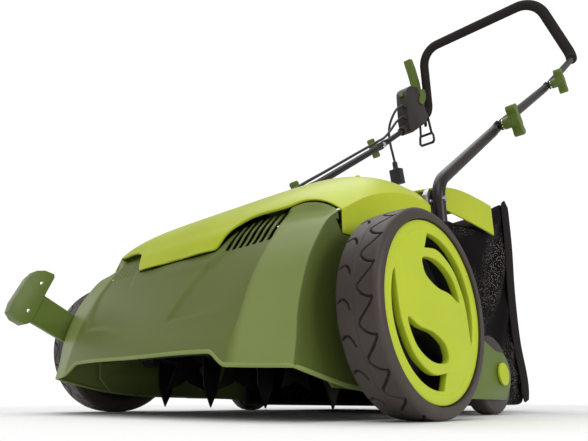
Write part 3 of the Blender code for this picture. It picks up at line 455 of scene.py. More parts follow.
def sweep(name, path, section, sides):
    """A tube along the path. section(along, total) gives (half across, half out, shift in x) at a distance."""
    along = [0.0]
    for a, b in zip(path, path[1:]):
        along.append(along[-1] + (b - a).length)
    bm = bmesh.new()
    rings = []
    across = Vector((1.0, 0.0, 0.0))
    for i, point in enumerate(path):
        tangent = (path[min(i + 1, len(path) - 1)] - path[max(i - 1, 0)]).normalized()
        across = (across - tangent * across.dot(tangent)).normalized()
        out = tangent.cross(across)
        wide, tall, shift = section(along[i], along[-1])
        ring = []
        for k in range(sides):
            a = 2 * math.pi * k / sides
            co = point + across * (wide * math.cos(a)) + out * (tall * math.sin(a)) + Vector((shift, 0, 0))
            ring.append(bm.verts.new(co))
        rings.append(ring)
    for low, high in zip(rings, rings[1:]):
        for k in range(sides):
            bm.faces.new((low[k], low[(k + 1) % sides], high[(k + 1) % sides], high[k]))
    bm.faces.new(rings[0])
    bm.faces.new(rings[-1])
    return smooth(from_bmesh(name, bm), 50.0)


def join_rings(bm, rings):
    """Faces from each closed ring to the next, and from the last back to the first."""
    for k, one in enumerate(rings):
        two = rings[(k + 1) % len(rings)]
        for i in range(len(one)):
            j = (i + 1) % len(one)
            bm.faces.new((one[i], one[j], two[j], two[i]))


def lathe(name, profile, centre, side, steps):
    """A solid turned about X. The profile is a closed loop of (x, radius), mirrored for the right side."""
    bm = bmesh.new()
    rings = []
    for k in range(steps):
        a = 2 * math.pi * k / steps
        rings.append([bm.verts.new(at(side * x, centre[0] + r * math.cos(a), centre[1] + r * math.sin(a)))
                      for x, r in profile])
    join_rings(bm, rings)
    return smooth(from_bmesh(name, bm))


def plate(name, loops, x0, x1, round_edge):
    """A flat sheet between x0 and x1 with outline and holes as loops of (y, z), its edges rounded."""
    curve = bpy.data.curves.new(name, "CURVE")
    curve.dimensions = "2D"
    curve.fill_mode = "BOTH"
    curve.extrude = abs(x1 - x0) / 2 - round_edge
    curve.bevel_depth = round_edge
    curve.bevel_resolution = 3
    curve.offset = -round_edge
    for loop in loops:
        spline = curve.splines.new("POLY")
        spline.points.add(len(loop) - 1)
        for point, (y, z) in zip(spline.points, loop):
            point.co = (y, z, 0.0, 1.0)
        spline.use_cyclic_u = True
    source = link(name + "_curve", curve)
    turn = Matrix(((0, 0, 1, 0), (1, 0, 0, 0), (0, 1, 0, 0), (0, 0, 0, 1)))
    source.matrix_world = Matrix.Translation(((x0 + x1) / 2, AXLE_Y, 0.0)) @ turn
    mesh = final_mesh(source)
    mesh.transform(source.matrix_world)
    bpy.data.objects.remove(source, do_unlink=True)
    bm = bmesh.new()
    bm.from_mesh(mesh)
    bmesh.ops.remove_doubles(bm, verts=bm.verts, dist=0.00001)
    return smooth(from_bmesh(name, bm))


def grid_shell(name, columns, wall):
    """A thin shell from columns of surface points, where a missing point leaves a hole, with a rounded rim."""
    bm = bmesh.new()
    grid = [[bm.verts.new(at(*p)) if p is not None else None for p in column] for column in columns]
    for left, right in zip(grid, grid[1:]):
        for a, b, c, d in zip(left, right, right[1:], left[1:]):
            if None not in (a, b, c, d):
                bm.faces.new((a, d, c, b))
    bmesh.ops.delete(bm, geom=[v for v in bm.verts if not v.link_faces], context="VERTS")
    mesh = bpy.data.meshes.new(name)
    bm.to_mesh(mesh)
    bm.free()
    obj = link(name, mesh)
    mod = obj.modifiers.new("wall", "SOLIDIFY")
    mod.thickness = wall
    mod.offset = -1.0
    mod.use_even_offset = True
    mod.thickness_clamp = 1.0
    edge = obj.modifiers.new("rim", "BEVEL")
    edge.width = wall * 0.3
    edge.segments = 3
    edge.limit_method = "ANGLE"
    edge.angle_limit = math.radians(50)
    return smooth(baked(obj), 30.0)


def bar(name, centre, r, x0, x1, dome):
    """A short round bar along X, with a softened edge at x0 and a dome at x1."""
    edge = min(0.12 * r, (x1 - x0) / 4)
    profile = [(x0, 0.0001), (x0, r - edge), (x0 + edge, r), (x1 - (edge + dome), r)]
    for k in range(1, 6):
        a = math.pi / 2 * k / 5
        profile.append((x1 - (edge + dome) * (1 - math.sin(a)), r - edge - (r - edge) * (1 - math.cos(a))))
    profile.append((x1, 0.0001))
    return lathe(name, profile, centre, 1, 32)


# ---- camera, light and floor ----
CAMERA_AT = (0.5278, -0.4471, 0.0185)
CAMERA_YAW = 0.755
CAMERA_PITCH = 0.3138
CAMERA_LENS = 33.62
LIGHT_TARGET = (0.0, -0.1, 0.3)
# name, place, size and power
LIGHTS = [("key", (0.9, -1.9, 2.3), 1.8, 23.0), ("top", (-0.6, 0.2, 2.8), 2.6, 37.0),
          ("left_side", (2.6, -0.35, 0.8), 1.2, 24.0), ("right_side", (-2.6, -0.9, 0.8), 1.2, 5.0)]
FLOOR_HALF = 8.0


def make_camera():
    data = bpy.data.cameras.new("camera")
    data.lens = CAMERA_LENS
    data.sensor_width = 36.0
    data.clip_start = 0.01
    camera = link("camera", data)
    camera.location = at(*CAMERA_AT)
    camera.rotation_euler = (math.pi / 2 + CAMERA_PITCH, 0.0, CAMERA_YAW)
    bpy.context.scene.camera = camera


def area_light(name, place, size, power):
    data = bpy.data.lights.new(name, "AREA")
    data.energy = power
    data.size = size
    lamp = link(name, data)
    lamp.location = place
    lamp.rotation_euler = (Vector(LIGHT_TARGET) - Vector(place)).to_track_quat("-Z", "Y").to_euler()


BACKDROP_STRENGTH = 1.05
FILL_STRENGTH = 0.42
FLOOR_FADE_START = 0.55    # the floor is whole up to this distance from the machine's middle
FLOOR_FADE_END = 1.5


def make_world():
    """A white backdrop behind the machine that lights it more softly than it looks."""
    world = bpy.data.worlds.new("studio")
    world.use_nodes = True
    bpy.context.scene.world = world
    nodes = world.node_tree.nodes
    links = world.node_tree.links
    path = nodes.new("ShaderNodeLightPath")
    strength = nodes.new("ShaderNodeMapRange")
    strength.inputs["To Min"].default_value = FILL_STRENGTH
    strength.inputs["To Max"].default_value = BACKDROP_STRENGTH
    links.new(path.outputs["Is Camera Ray"], strength.inputs["Value"])
    links.new(strength.outputs["Result"], nodes["Background"].inputs["Strength"])
    nodes["Background"].inputs["Color"].default_value = (1.0, 1.0, 1.0, 1.0)


def floor_material():
    """Matt white round the machine, fading out into the white backdrop further away."""
    mat = plastic("floor_white", (0.97, 0.97, 0.97), 0.75, 0.85, 40.0, 0.00001, spread=0.005)
    nodes, links, bsdf = parts_of(mat)
    coord = nodes.new("ShaderNodeTexCoord")
    mapping = nodes.new("ShaderNodeMapping")
    mapping.inputs["Scale"].default_value = (1 / FLOOR_FADE_END, 1 / FLOOR_FADE_END, 1.0)
    ball = nodes.new("ShaderNodeTexGradient")
    ball.gradient_type = "SPHERICAL"
    share = nodes.new("ShaderNodeMapRange")
    share.interpolation_type = "SMOOTHSTEP"
    share.inputs["From Max"].default_value = 1 - FLOOR_FADE_START / FLOOR_FADE_END
    links.new(coord.outputs["Object"], mapping.inputs["Vector"])
    links.new(mapping.outputs["Vector"], ball.inputs["Vector"])
    links.new(ball.outputs["Fac"], share.inputs["Value"])
    links.new(share.outputs["Result"], bsdf.inputs["Alpha"])
    return mat


def make_studio():
    bpy.context.scene.view_settings.view_transform = "Standard"
    make_world()
    for light in LIGHTS:
        area_light(*light)
    mesh = bpy.data.meshes.new("floor")
    corners = [(x * FLOOR_HALF, y * FLOOR_HALF, 0) for x, y in ((-1, -1), (1, -1), (1, 1), (-1, 1))]
    mesh.from_pydata(corners, [], [(0, 1, 2, 3)])
    floor = link("floor", mesh)
    floor.data.materials.append(floor_material())


make_camera()
make_studio()


# ---- cords ----
CORD_R = 0.0035
PIGTAIL_ROUTE = [(-0.205, 0.7974, 0.822), (-0.205, 0.7880, 0.822), (-0.219, 0.772, 0.804),
                 (-0.237, 0.768, 0.770), (-0.245, 0.770, 0.738), (-0.246, 0.777, 0.704),
                 (-0.2445, 0.784, 0.676), (-0.2435, 0.788, 0.6570)]
LEAD_ROUTE = [(-0.205, 0.7974, 0.786), (-0.205, 0.7880, 0.786), (-0.212, 0.762, 0.762),
              (-0.216, 0.732, 0.724), (-0.216, 0.700, 0.691), (-0.216, 0.664, 0.6655),
              (-0.216, 0.560, 0.5925), (-0.216, 0.450, 0.5150), (-0.216, 0.383, 0.4685),
              (-0.216, 0.330, 0.4300), (-0.216, 0.240, 0.3635), (-0.213, 0.196, 0.3300),
              (-0.200, 0.168, 0.3120), (-0.188, 0.154, 0.3030)]
LEAD_SPLIT_Y = 0.530       # on the middle tube, about halfway between the joints
# Each length of the lead: its bodies, and the (y, z) that bound the stretch round their joint.
LEAD_BENDS = [("lead_upper", ("middle_handle", "upper_handle"), (0.640, 0.650), (0.728, 0.712)),
              ("lead_lower", ("deck", "middle_handle"), (0.335, 0.434), (0.430, 0.501))]
TUBE_SIDE_X = 0.216
RELIEF_R = 0.0062
RELIEF_TAPER = 0.0022
RIB_DEPTH = 0.0005
RIB_PITCH = 0.003
RELIEF_LENGTH = 0.0094


def cord_curve(name, route, spacing):
    curve = bpy.data.curves.new(name, "CURVE")
    curve.dimensions = "3D"
    curve.bevel_depth = CORD_R
    curve.bevel_resolution = 4
    curve.use_fill_caps = True
    points = smooth_route([at(*p) for p in route], spacing)
    spline = curve.splines.new("POLY")
    spline.points.add(len(points) - 1)
    for point, co in zip(spline.points, points):
        point.co = (*co, 1.0)
    spline.use_smooth = True
    return link(name, curve), points


def relief(name, start, towards, length):
    """A tapered, ribbed strain relief from the housing's face along the cord."""
    path = evenly([start, start + (towards - start).normalized() * length], 0.0005)

    def section(s, total):
        taper = RELIEF_R - RELIEF_TAPER * s / total
        rib = RIB_DEPTH if (s % RIB_PITCH) < RIB_PITCH / 2 and s > 0.002 else 0.0
        return taper - rib, taper - rib, 0.0

    return sweep(name, path, section, 20)


def make_lead():
    """The fixed lead down the right-hand tube, in two lengths split on the middle tube."""
    points = smooth_route([at(*p) for p in LEAD_ROUTE], 0.003)
    split = min(range(len(points)), key=lambda i: abs(points[i].y - AXLE_Y - LEAD_SPLIT_Y))
    runs = (points[:split + 2], points[split:])
    for (name, bodies, start, end), run in zip(LEAD_BENDS, runs):
        cord = sweep(name, run, lambda s, total: (CORD_R, CORD_R, 0.0), 16)
        cord.data.materials.append(CORD)
        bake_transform(cord)
        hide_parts("power_lead")


def make_cords():
    pigtail, points = cord_curve("pigtail_cord", PIGTAIL_ROUTE, 0.004)
    settle(pigtail, CORD, "upper_handle", "black_plastic", "pigtail")
    plug = refine("plug", BLACK, "black_plastic", 0.0022, 3)
    for name, route in (("pigtail_gland", PIGTAIL_ROUTE), ("lead_gland", LEAD_ROUTE)):
        gland = relief(name, at(*route[0]) + Vector((0, 0.0006, 0)), at(*route[1]), RELIEF_LENGTH)
        settle(gland, BLACK, "upper_handle", "black_plastic")
    make_lead()


make_cords()


# ---- housing ----
CREASE = [(-0.115, 0.044), (-0.112, 0.064), (-0.110, 0.089), (-0.105, 0.111), (-0.095, 0.139),
          (-0.081, 0.163), (-0.066, 0.182), (-0.052, 0.192), (-0.036, 0.206)]
NOSE = [(-0.138, 0.044), (-0.135, 0.059), (-0.127, 0.090), (-0.114, 0.125), (-0.100, 0.152),
        (-0.087, 0.172), (-0.074, 0.190), (-0.060, 0.205), (-0.054, 0.211)]
HOOD_CENTRE = [(-0.090, 0.172), (-0.084, 0.188), (-0.076, 0.199), (-0.063, 0.217), (-0.050, 0.229),
               (-0.009, 0.254), (0.045, 0.279), (0.100, 0.291), (0.172, 0.296)]
HOOD_EDGE = [(-0.090, 0.130), (-0.076, 0.152), (-0.0655, 0.170), (-0.0575, 0.185), (-0.047, 0.194),
             (-0.031, 0.204), (-0.008, 0.217), (0.029, 0.232), (0.082, 0.244), (0.103, 0.244), (0.172, 0.240)]
HOOD_FRONT = [(0.0, -0.0905), (0.076, -0.0895), (0.084, -0.084), (0.092, -0.078), (0.161, -0.0655),
              (0.178, -0.0575), (0.200, -0.050), (0.216, -0.047)]
SHELL_FOOT = [(0.0, 0.059), (0.120, 0.059), (0.127, 0.0585), (0.149, 0.0465), (0.156, 0.046), (0.216, 0.044)]
SKIRT = [(-0.115, 0.044), (-0.035, 0.028), (0.150, 0.020)]     # (y, z) along the flank's lower edge
HOOD_SQUARENESS = 6
HOOD_LIP_DROP = 0.0036
HOOD_NOTCH_X = 0.192
HOOD_NOTCH_Y = 0.128
HOOD_REAR_Y = 0.172
FLANK_Z = 0.170             # the hood's lower edge on its flanks
FLANK_TOP = 0.1685          # the shell's upper edge there
CORNER_LOW = 0.0435
CORNER_TALL = 0.1400
PILLAR_X = 0.150
WALL = 0.003
RIM_R = 0.0021
PIP_AT = (0.165, 0.050)
FLAP_WALL = 0.0035
FLAP_HALF = 0.200
FLAP_TOP = [(0.1765, 0.2855), (0.205, 0.2935), (0.246, 0.3005), (0.293, 0.3030), (0.347, 0.3030)]
FLAP_HEM = [(0.1765, 0.2600), (0.205, 0.2595), (0.246, 0.2590), (0.293, 0.2580), (0.347, 0.2555)]
VENT_LEAN = math.radians(34)
VENTS = 7
VENT_FIRST_X = 0.0945
VENT_PITCH = 0.0100
VENT_FOOT_Z = 0.1690
VENT_OVERRUN = 0.0030             # how far the cutters run past the top edge
VENT_WIDTH = 0.0040
VENT_CUT_DEPTH = 0.026
VENT_SPLAY = math.radians(40)     # the louvres open outwards
VENT_SKEW = 0.15                  # how far they lean outwards for each metre up
PANEL_DEPTH = 0.0024
PANEL_LEFT = 0.157                # the sunk panel's edges; the right one slants inwards below SLANT_TOP
PANEL_RIGHT = 0.152
PANEL_SLANT = 0.35
SLANT_TOP = 0.150
PANEL_STEP = 0.004
FACET_STEP = 0.0035
FACET_DEPTH = 0.0022
FACET_TOP = (0.076, 0.160)        # (x, z) corners of the facet in the middle of the front
FACET_CORNER = (0.039, 0.092)
FACET_TAIL = (0.134, 0.098)


def front_y(x, z):
    middle = value_at(NOSE, z, 1, 0)
    corner = value_at(CREASE, z, 1, 0)
    if x <= PILLAR_X:
        return middle + 0.003 * (x / PILLAR_X) ** 2
    t = (x - PILLAR_X) / (HALF_WIDTH - PILLAR_X)
    return (middle + 0.003) * (1 - t) + corner * t


def hood_z(x, y):
    centre = value_at(HOOD_CENTRE, y, 0, 1)
    edge = value_at(HOOD_EDGE, y, 0, 1)
    return edge + (centre - edge) * (1 - min(1.0, abs(x) / HALF_WIDTH) ** HOOD_SQUARENESS)


def hood_front(x):
    return value_at(HOOD_FRONT, x, 0, 1)


def front_top(x):
    return hood_z(x, hood_front(x)) - HOOD_LIP_DROP


def ramp(value, low, high):
    """0 below low, 1 above high and a smooth rise between."""
    t = min(max((value - low) / (high - low), 0.0), 1.0)
    return t * t * (3 - 2 * t)


def side_of(x, z, start, end):
    """How far (x, z) lies to the left of the line from start to end."""
    dx, dz = end[0] - start[0], end[1] - start[1]
    return (dx * (z - start[1]) - dz * (x - start[0])) / math.hypot(dx, dz)


def emboss(x, z):
    """How far the front is stepped inwards, by the panel between the pillars and the three-cornered facet."""
    pillar = PANEL_LEFT if x > 0 else PANEL_RIGHT - PANEL_SLANT * max(0.0, SLANT_TOP - z)
    across = ramp(x, -0.110, 0.060)
    foot = ramp(z, 0.0965 - 0.035 * across, 0.1010 - 0.012 * across)
    sunk = PANEL_DEPTH * ramp(pillar - abs(x), 0.0, PANEL_STEP) * foot
    left_edge = side_of(x, z, FACET_TOP, FACET_CORNER)
    low_edge = side_of(x, z, FACET_CORNER, FACET_TAIL)
    inside = min(ramp(left_edge, 0.0, FACET_STEP), ramp(low_edge, 0.0, FACET_STEP))
    fade = 1 - ramp(left_edge, 0.030, 0.085)
    return sunk + FACET_DEPTH * inside * fade


def front_point(x, z, h):
    """A point of the front: embossed, and brought up flush to the hood's lip outside the vents."""
    y = front_y(abs(x), z) + emboss(x, z) * (1 - ramp(h, 0.80, 0.90))
    flush = ramp(abs(x), 0.152, 0.166) * (1 - ramp(abs(x), 0.192, 0.212)) * ramp(h, 0.86, 1.0)
    return x, y + (hood_front(abs(x)) - y) * flush, z


def vent_cutter():
    """The boxes that cut the louvres' slots, leaning back with the front and outwards."""
    bm = bmesh.new()
    for side, _ in SIDES:
        for i in range(VENTS):
            x = VENT_FIRST_X + VENT_PITCH * i
            low = VENT_FOOT_Z
            high = front_top(x) + VENT_OVERRUN
            rise = Vector((side * VENT_SKEW, math.tan(VENT_LEAN), 1.0)).normalized()
            depth = Vector((-side * math.sin(VENT_SPLAY), math.cos(VENT_SPLAY), 0.0))
            depth = (depth - rise * depth.dot(rise)).normalized()
            turn = Matrix((depth.cross(rise), depth, rise)).transposed().to_4x4()
            middle = at(side * x, front_y(x, (low + high) / 2), (low + high) / 2)
            size = Matrix.Diagonal((VENT_WIDTH, VENT_CUT_DEPTH, (high - low) / rise.z, 1.0))
            bmesh.ops.create_cube(bm, size=1.0, matrix=Matrix.Translation(middle) @ turn @ size)
    return from_bmesh("vent_cut", bm)


def make_front_shell():
    rows = between(0.0, 1.0, 60)
    columns = []
    for y in between(0.150, -0.048, 24):
        low = value_at(SKIRT, y, 0, 1)
        columns.append([(HALF_WIDTH, y, low + (FLANK_TOP - low) * h) for h in rows])
    columns.append([(HALF_WIDTH, value_at(CREASE, z, 1, 0) + 0.006, z)
                    for z in (CORNER_LOW + CORNER_TALL * h for h in rows)])
    sides = [[(-x, y, z) for x, y, z in column] for column in reversed(columns)]
    for x in between(HALF_WIDTH, -HALF_WIDTH, 181):
        low = value_at(SHELL_FOOT, abs(x), 0, 1)
        top = front_top(abs(x))
        columns.append([front_point(x, low + (top - low) * h, h) for h in rows])
    shell = grid_shell("shell_fine", columns + sides, WALL)
    cutter = vent_cutter()
    mod = shell.modifiers.new("vents", "BOOLEAN")
    mod.operation = "DIFFERENCE"
    mod.solver = "EXACT"
    mod.object = cutter
    baked(shell)
    bpy.data.objects.remove(cutter, do_unlink=True)
    settle(smooth(shell, 30.0), SHELL_OLIVE, "deck", "olive_plastic", "front_shell")


def make_shell_rim():
    """The rim round the lower edge of the mouth, in a lighter olive that is a painted highlight along that
    edge.
    """
    half = [(HALF_WIDTH - 0.0012, y, value_at(SKIRT, y, 0, 1)) for y in between(0.148, -0.105, 22)]
    for x in between(HALF_WIDTH - 0.002, 0.0, 60):
        z = value_at(SHELL_FOOT, x, 0, 1)
        half.append((x, front_y(x, z) + 0.0014, z + 0.0002))
    whole = half + [(-x, y, z) for x, y, z in reversed(half[:-1])]
    rim = sweep("shell_rim", [at(*p) for p in whole], lambda s, total: (RIM_R, RIM_R, 0.0), 12)
    settle(rim, RIM_OLIVE_PAINTED_HIGHLIGHT, "deck", "olive_plastic")


def make_hood():
    xs = between(0.0, 0.070, 12) + between(0.073, 0.100, 10) + between(0.104, HOOD_NOTCH_X, 20)
    xs += between(0.196, HALF_WIDTH, 10)
    half = []
    for x in xs:
        front = hood_front(x)
        column = [(x, y, hood_z(x, y)) for y in (front + (HOOD_NOTCH_Y - front) * r ** 1.3
                                                 for r in between(0.0, 1.0, 40))]
        rear = between(HOOD_NOTCH_Y, HOOD_REAR_Y, 9)[1:]
        column += [(x, y, hood_z(x, y)) if x <= HOOD_NOTCH_X + 0.0001 else None for y in rear]
        half.append(column)
    edge = half[-1]
    for share in (0.8, 0.6, 0.4, 0.2, 0.0):
        half.append([(HALF_WIDTH, p[1], FLANK_Z + share * (p[2] - FLANK_Z)) if p else None for p in edge])
    mirror = [[(-p[0], p[1], p[2]) if p else None for p in column] for column in half[1:]]
    columns = [list(reversed(c)) for c in list(reversed(mirror)) + half]
    settle(grid_shell("hood_fine", columns, WALL), LIME, "deck", "lime_plastic", "hood")
    pip = bar("hood_pip", (0.0, 0.0), 0.003, 0.0, 0.004, 0.0015)
    pip.data.transform(Matrix.Rotation(-math.pi / 2, 4, "Y") @ Matrix.Translation((0, -AXLE_Y, 0)))
    pip.data.transform(Matrix.Translation(at(*PIP_AT, hood_z(*PIP_AT) - 0.0022)))
    settle(pip, LIME, "deck", "lime_plastic")


def make_flap():
    ys = between(FLAP_TOP[0][0], FLAP_TOP[-1][0], 26)
    columns = []
    for share in (0.0, 0.25, 0.5, 0.75):
        columns.append([(FLAP_HALF, y, value_at(FLAP_HEM, y, 0, 1) * (1 - share)
                         + value_at(FLAP_TOP, y, 0, 1) * share) for y in ys])
    for x in between(FLAP_HALF, 0.0, 24):
        crown = 0.008 * (1 - (x / FLAP_HALF) ** 3)
        columns.append([(x, y, value_at(FLAP_TOP, y, 0, 1) + crown) for y in ys])
    mirror = [[(-x, y, z) for x, y, z in column] for column in reversed(columns[:-1])]
    settle(grid_shell("flap_fine", columns + mirror, FLAP_WALL), LIME, "flap", "lime_plastic", "rear_flap")


make_front_shell()
make_shell_rim()
make_hood()
make_flap()


# ---- front wheels ----
SIPES = 20
SIPE_DEPTH = 0.0026
SIPE_HALF = 0.0008
ANGLE_STEPS = 40           # steps round the tyre for each period of its tread
TREAD_ROWS = 60
LINE_SHARE = 0.53          # where the fine line round the tread runs, as a share across
LINE_HALF = 0.0006
LINE_DEPTH = 0.0005
COVER_FACE_R = 0.0745
CRESCENT_R = 0.0705
# One period of the tread, as (share along, share across from the outer edge).
WAVE = [(0.0, 0.03), (0.06, 0.05), (0.20, 0.12), (0.40, 0.26), (0.60, 0.41), (0.68, 0.43), (0.76, 0.41),
        (0.86, 0.34), (0.94, 0.24), (0.985, 0.13), (1.0, 0.03)]
ARC = [(0.06, 0.97), (0.00, 0.90), (-0.02, 0.82), (0.04, 0.74), (0.16, 0.68), (0.27, 0.65)]
LEAF_HOLE = [(-0.047, -0.0115), (-0.039, -0.030), (-0.025, -0.041), (-0.006, -0.047), (0.015, -0.0455),
             (0.0165, -0.037), (0.0105, -0.0285), (-0.007, -0.021), (-0.028, -0.018)]
CRESCENT_IN = [(0.0115, -0.0555), (-0.008, -0.0575), (-0.024, -0.0525), (-0.041, -0.041), (-0.054, -0.021),
               (-0.0595, -0.004), (-0.0630, 0.028)]


def sipe_lines(width):
    """Centre lines of one period's grooves, as (along the tread, across from the outer edge), in metres."""
    period = 2 * math.pi * WHEEL_R / SIPES
    lines = []
    for shape in (WAVE, ARC):
        route = smooth_route([(period * u, width * v, 0.0) for u, v in shape], 0.0012)
        lines.append([(p.x, p.y) for p in route])
    return period, lines


def groove_depths(width):
    """Depth of the tread's grooves over one period, angle by row."""
    period, lines = sipe_lines(width)
    s = np.arange(ANGLE_STEPS)[:, None] * period / ANGLE_STEPS
    a = np.linspace(0.0, width, TREAD_ROWS)[None, :]
    near = np.full((ANGLE_STEPS, TREAD_ROWS), 1.0)
    for line in lines:
        for shift in (-period, 0.0, period):
            for (s0, a0), (s1, a1) in zip(line, line[1:]):
                ds, da = s1 - s0, a1 - a0
                t = np.clip(((s - s0 - shift) * ds + (a - a0) * da) / (ds * ds + da * da), 0.0, 1.0)
                near = np.minimum(near, np.hypot(s - s0 - shift - t * ds, a - a0 - t * da))
    depth = np.clip(1.5 - near / SIPE_HALF, 0.0, 1.0) * SIPE_DEPTH
    line_depth = np.clip(1.3 - np.abs(a - width * LINE_SHARE) / LINE_HALF, 0.0, 1.0) * LINE_DEPTH
    return np.maximum(depth, line_depth)


def make_tyre(side, label):
    low, high = WHEEL_IN + 0.0040, WHEEL_OUT - 0.0040
    depths = groove_depths(high - low)
    outer = [(WHEEL_OUT - 0.0095, 0.0780), (WHEEL_OUT - 0.0095, 0.0832), (WHEEL_OUT - 0.0006, 0.0836),
             (WHEEL_OUT, 0.0842), (WHEEL_OUT, 0.0898), (WHEEL_OUT - 0.0008, 0.0914),
             (WHEEL_OUT - 0.0022, 0.0932)]
    inner = [(WHEEL_IN + 0.0022, 0.0932), (WHEEL_IN + 0.0006, 0.0912), (WHEEL_IN, 0.0900), (WHEEL_IN, 0.0780)]
    bm = bmesh.new()
    rings = []
    for k in range(SIPES * ANGLE_STEPS):
        angle = side * 2 * math.pi * k / (SIPES * ANGLE_STEPS)
        profile = list(outer)
        for i in range(TREAD_ROWS):
            x = high + (low - high) * i / (TREAD_ROWS - 1)
            crown = 0.0006 * (2 * i / (TREAD_ROWS - 1) - 1) ** 2
            profile.append((x, WHEEL_R - crown - depths[k % ANGLE_STEPS, i]))
        profile += inner
        rings.append([bm.verts.new(at(side * x, r * math.cos(angle), WHEEL_R + r * math.sin(angle)))
                      for x, r in profile])
    join_rings(bm, rings)
    tyre = smooth(from_bmesh("tyre_fine_" + label, bm), 40.0)
    settle(tyre, TYRE, "front_wheel_" + label, "tyre", "front_tyre_" + label)


def cover_loops():
    """Openings of the hub cover, as smooth closed (y, z) outlines: a leaf and a crescent, twice."""
    outer = ring_points((0.0, 0.0), CRESCENT_R, 30, 160, 274)
    inner = smooth_route([(*p, 0.0) for p in CRESCENT_IN], 0.004)
    crescent = outer + [(p.x, p.y) for p in inner]
    leaf = [tuple(p) for p in closed_route(LEAF_HOLE)]
    return [[(turn * y, WHEEL_R + turn * z) for y, z in shape]
            for turn in (1, -1) for shape in (leaf, crescent)]


def make_hub_cover(side, label):
    low, high = COVER_IN - 0.0010, COVER_OUT
    x0, x1 = (low, high) if side > 0 else (-high, -low)
    loops = [ring_points((0.0, WHEEL_R), COVER_FACE_R, 160)] + cover_loops()
    face = plate("cover_fine_" + label, loops, x0, x1, 0.0016)
    settle(face, COVER_LIME, "front_wheel_" + label, "lime_plastic", "hub_cover_" + label)
    ring = lathe("cover_ring_" + label, [
        (COVER_IN, 0.0730), (COVER_OUT - 0.0016, 0.0730), (COVER_OUT - 0.0003, 0.0738), (COVER_OUT, 0.0752),
        (COVER_OUT, 0.0812), (COVER_OUT - 0.0006, 0.0823), (COVER_OUT - 0.0018, COVER_R), (COVER_IN, COVER_R)],
        (0.0, WHEEL_R), side, 160)
    settle(ring, COVER_LIME, "front_wheel_" + label, "lime_plastic")


for wheel_side, wheel_label in SIDES:
    make_tyre(wheel_side, wheel_label)
    make_hub_cover(wheel_side, wheel_label)
    refine("front_rim_" + wheel_label, BLACK, "black_plastic", 0.0006)


# ---- handle ----
TAB = 0.0025
TAB_R = 0.0095
GAP = 0.0003
FLAT_RUN = 0.034          # over this distance the round tube becomes the flat end
TUBE_FOOT = (0.150, 0.225)
TUBE_BEND = (0.150, 0.279)
GRIP_LOW = (0.212, 0.955, 0.869)
GRIP_TOP = (0.168, 0.864, 1.025)
TUBE_R = 0.0083
MID_TUBE_R = 0.0080
LOOP_R = 0.0075
FOAM_R = 0.0130
FOAM_ROUND = 0.0035
FOAM_REACH = 0.0270         # how far the foam reaches below the loop's lower corner


def flat_end(s, radius, shift):
    """Section at a distance s from the very end of a flattened tube whose bolt is TAB_R from that end."""
    if s < TAB_R:
        tall = math.sqrt(max(TAB_R ** 2 - (TAB_R - s) ** 2, 0.0)) + 0.0001
        return TAB, tall, shift
    t = ramp(s - 2 * TAB_R, 0.0, FLAT_RUN)
    return TAB + (radius - TAB) * t, TAB_R + (radius - TAB_R) * t, shift * (1 - t)


def beyond(joint, towards):
    """The point TAB_R past the joint, on the side away from 'towards'."""
    along = Vector((towards[0] - joint[0], towards[1] - joint[1])).normalized()
    return joint[0] - along.x * TAB_R, joint[1] - along.y * TAB_R


def make_tubes():
    for side, label in SIDES:
        x = side * TUBE_SIDE_X
        shift = side * (GAP + TAB)
        end = beyond(JOINT_1, TUBE_BEND)
        corners = [at(x, *TUBE_FOOT), at(x, *TUBE_BEND), at(x, *end)]
        path = evenly(rounded_path(corners, [0.045]), 0.003)
        lower = sweep("tube_lower_" + label, path,
                      lambda s, total: flat_end(total - s, TUBE_R, -shift), 28)
        settle(lower, TUBE, "deck", "brown_tube", "lower_tube_" + label)
        start = beyond(JOINT_1, JOINT_2)
        end = beyond(JOINT_2, JOINT_1)
        path = evenly([at(x, *start), at(x, *end)], 0.002)
        middle = sweep("tube_middle_" + label, path,
                       lambda s, total: flat_end(s, MID_TUBE_R, shift) if s < total / 2
                       else flat_end(total - s, MID_TUBE_R, -shift), 28)
        settle(middle, TUBE, "middle_handle", "brown_tube", "middle_tube_" + label)


def grip_corners(start):
    half = [start, GRIP_LOW, GRIP_TOP]
    return [at(*p) for p in half + [(-x, y, z) for x, y, z in reversed(half)]]


def make_loop():
    low = beyond(JOINT_2, GRIP_LOW[1:])
    bends = [0.030, 0.062, 0.062, 0.030]
    path = evenly(rounded_path(grip_corners((TUBE_SIDE_X, *low)), bends), 0.003)

    def section(s, total):
        if s < total / 2:
            return flat_end(s, LOOP_R, GAP + TAB)
        return flat_end(total - s, LOOP_R, -GAP - TAB)

    settle(sweep("loop_fine", path, section, 28), TUBE, "upper_handle", "brown_tube", "upper_loop")
    along = (Vector(GRIP_LOW) - Vector((TUBE_SIDE_X, *JOINT_2))).normalized()
    start = Vector(GRIP_LOW) - along * FOAM_REACH
    foam_path = evenly(rounded_path(grip_corners(tuple(start)), bends), 0.002)

    def foam_section(s, total):
        edge = min(s, total - s)
        r = FOAM_R - FOAM_ROUND * max(0.0, 1.0 - edge / FOAM_ROUND) ** 2
        return r, r, 0.0

    settle(sweep("foam_fine", foam_path, foam_section, 32), FOAM, "upper_handle", "foam", "foam_grip")


make_tubes()
make_loop()


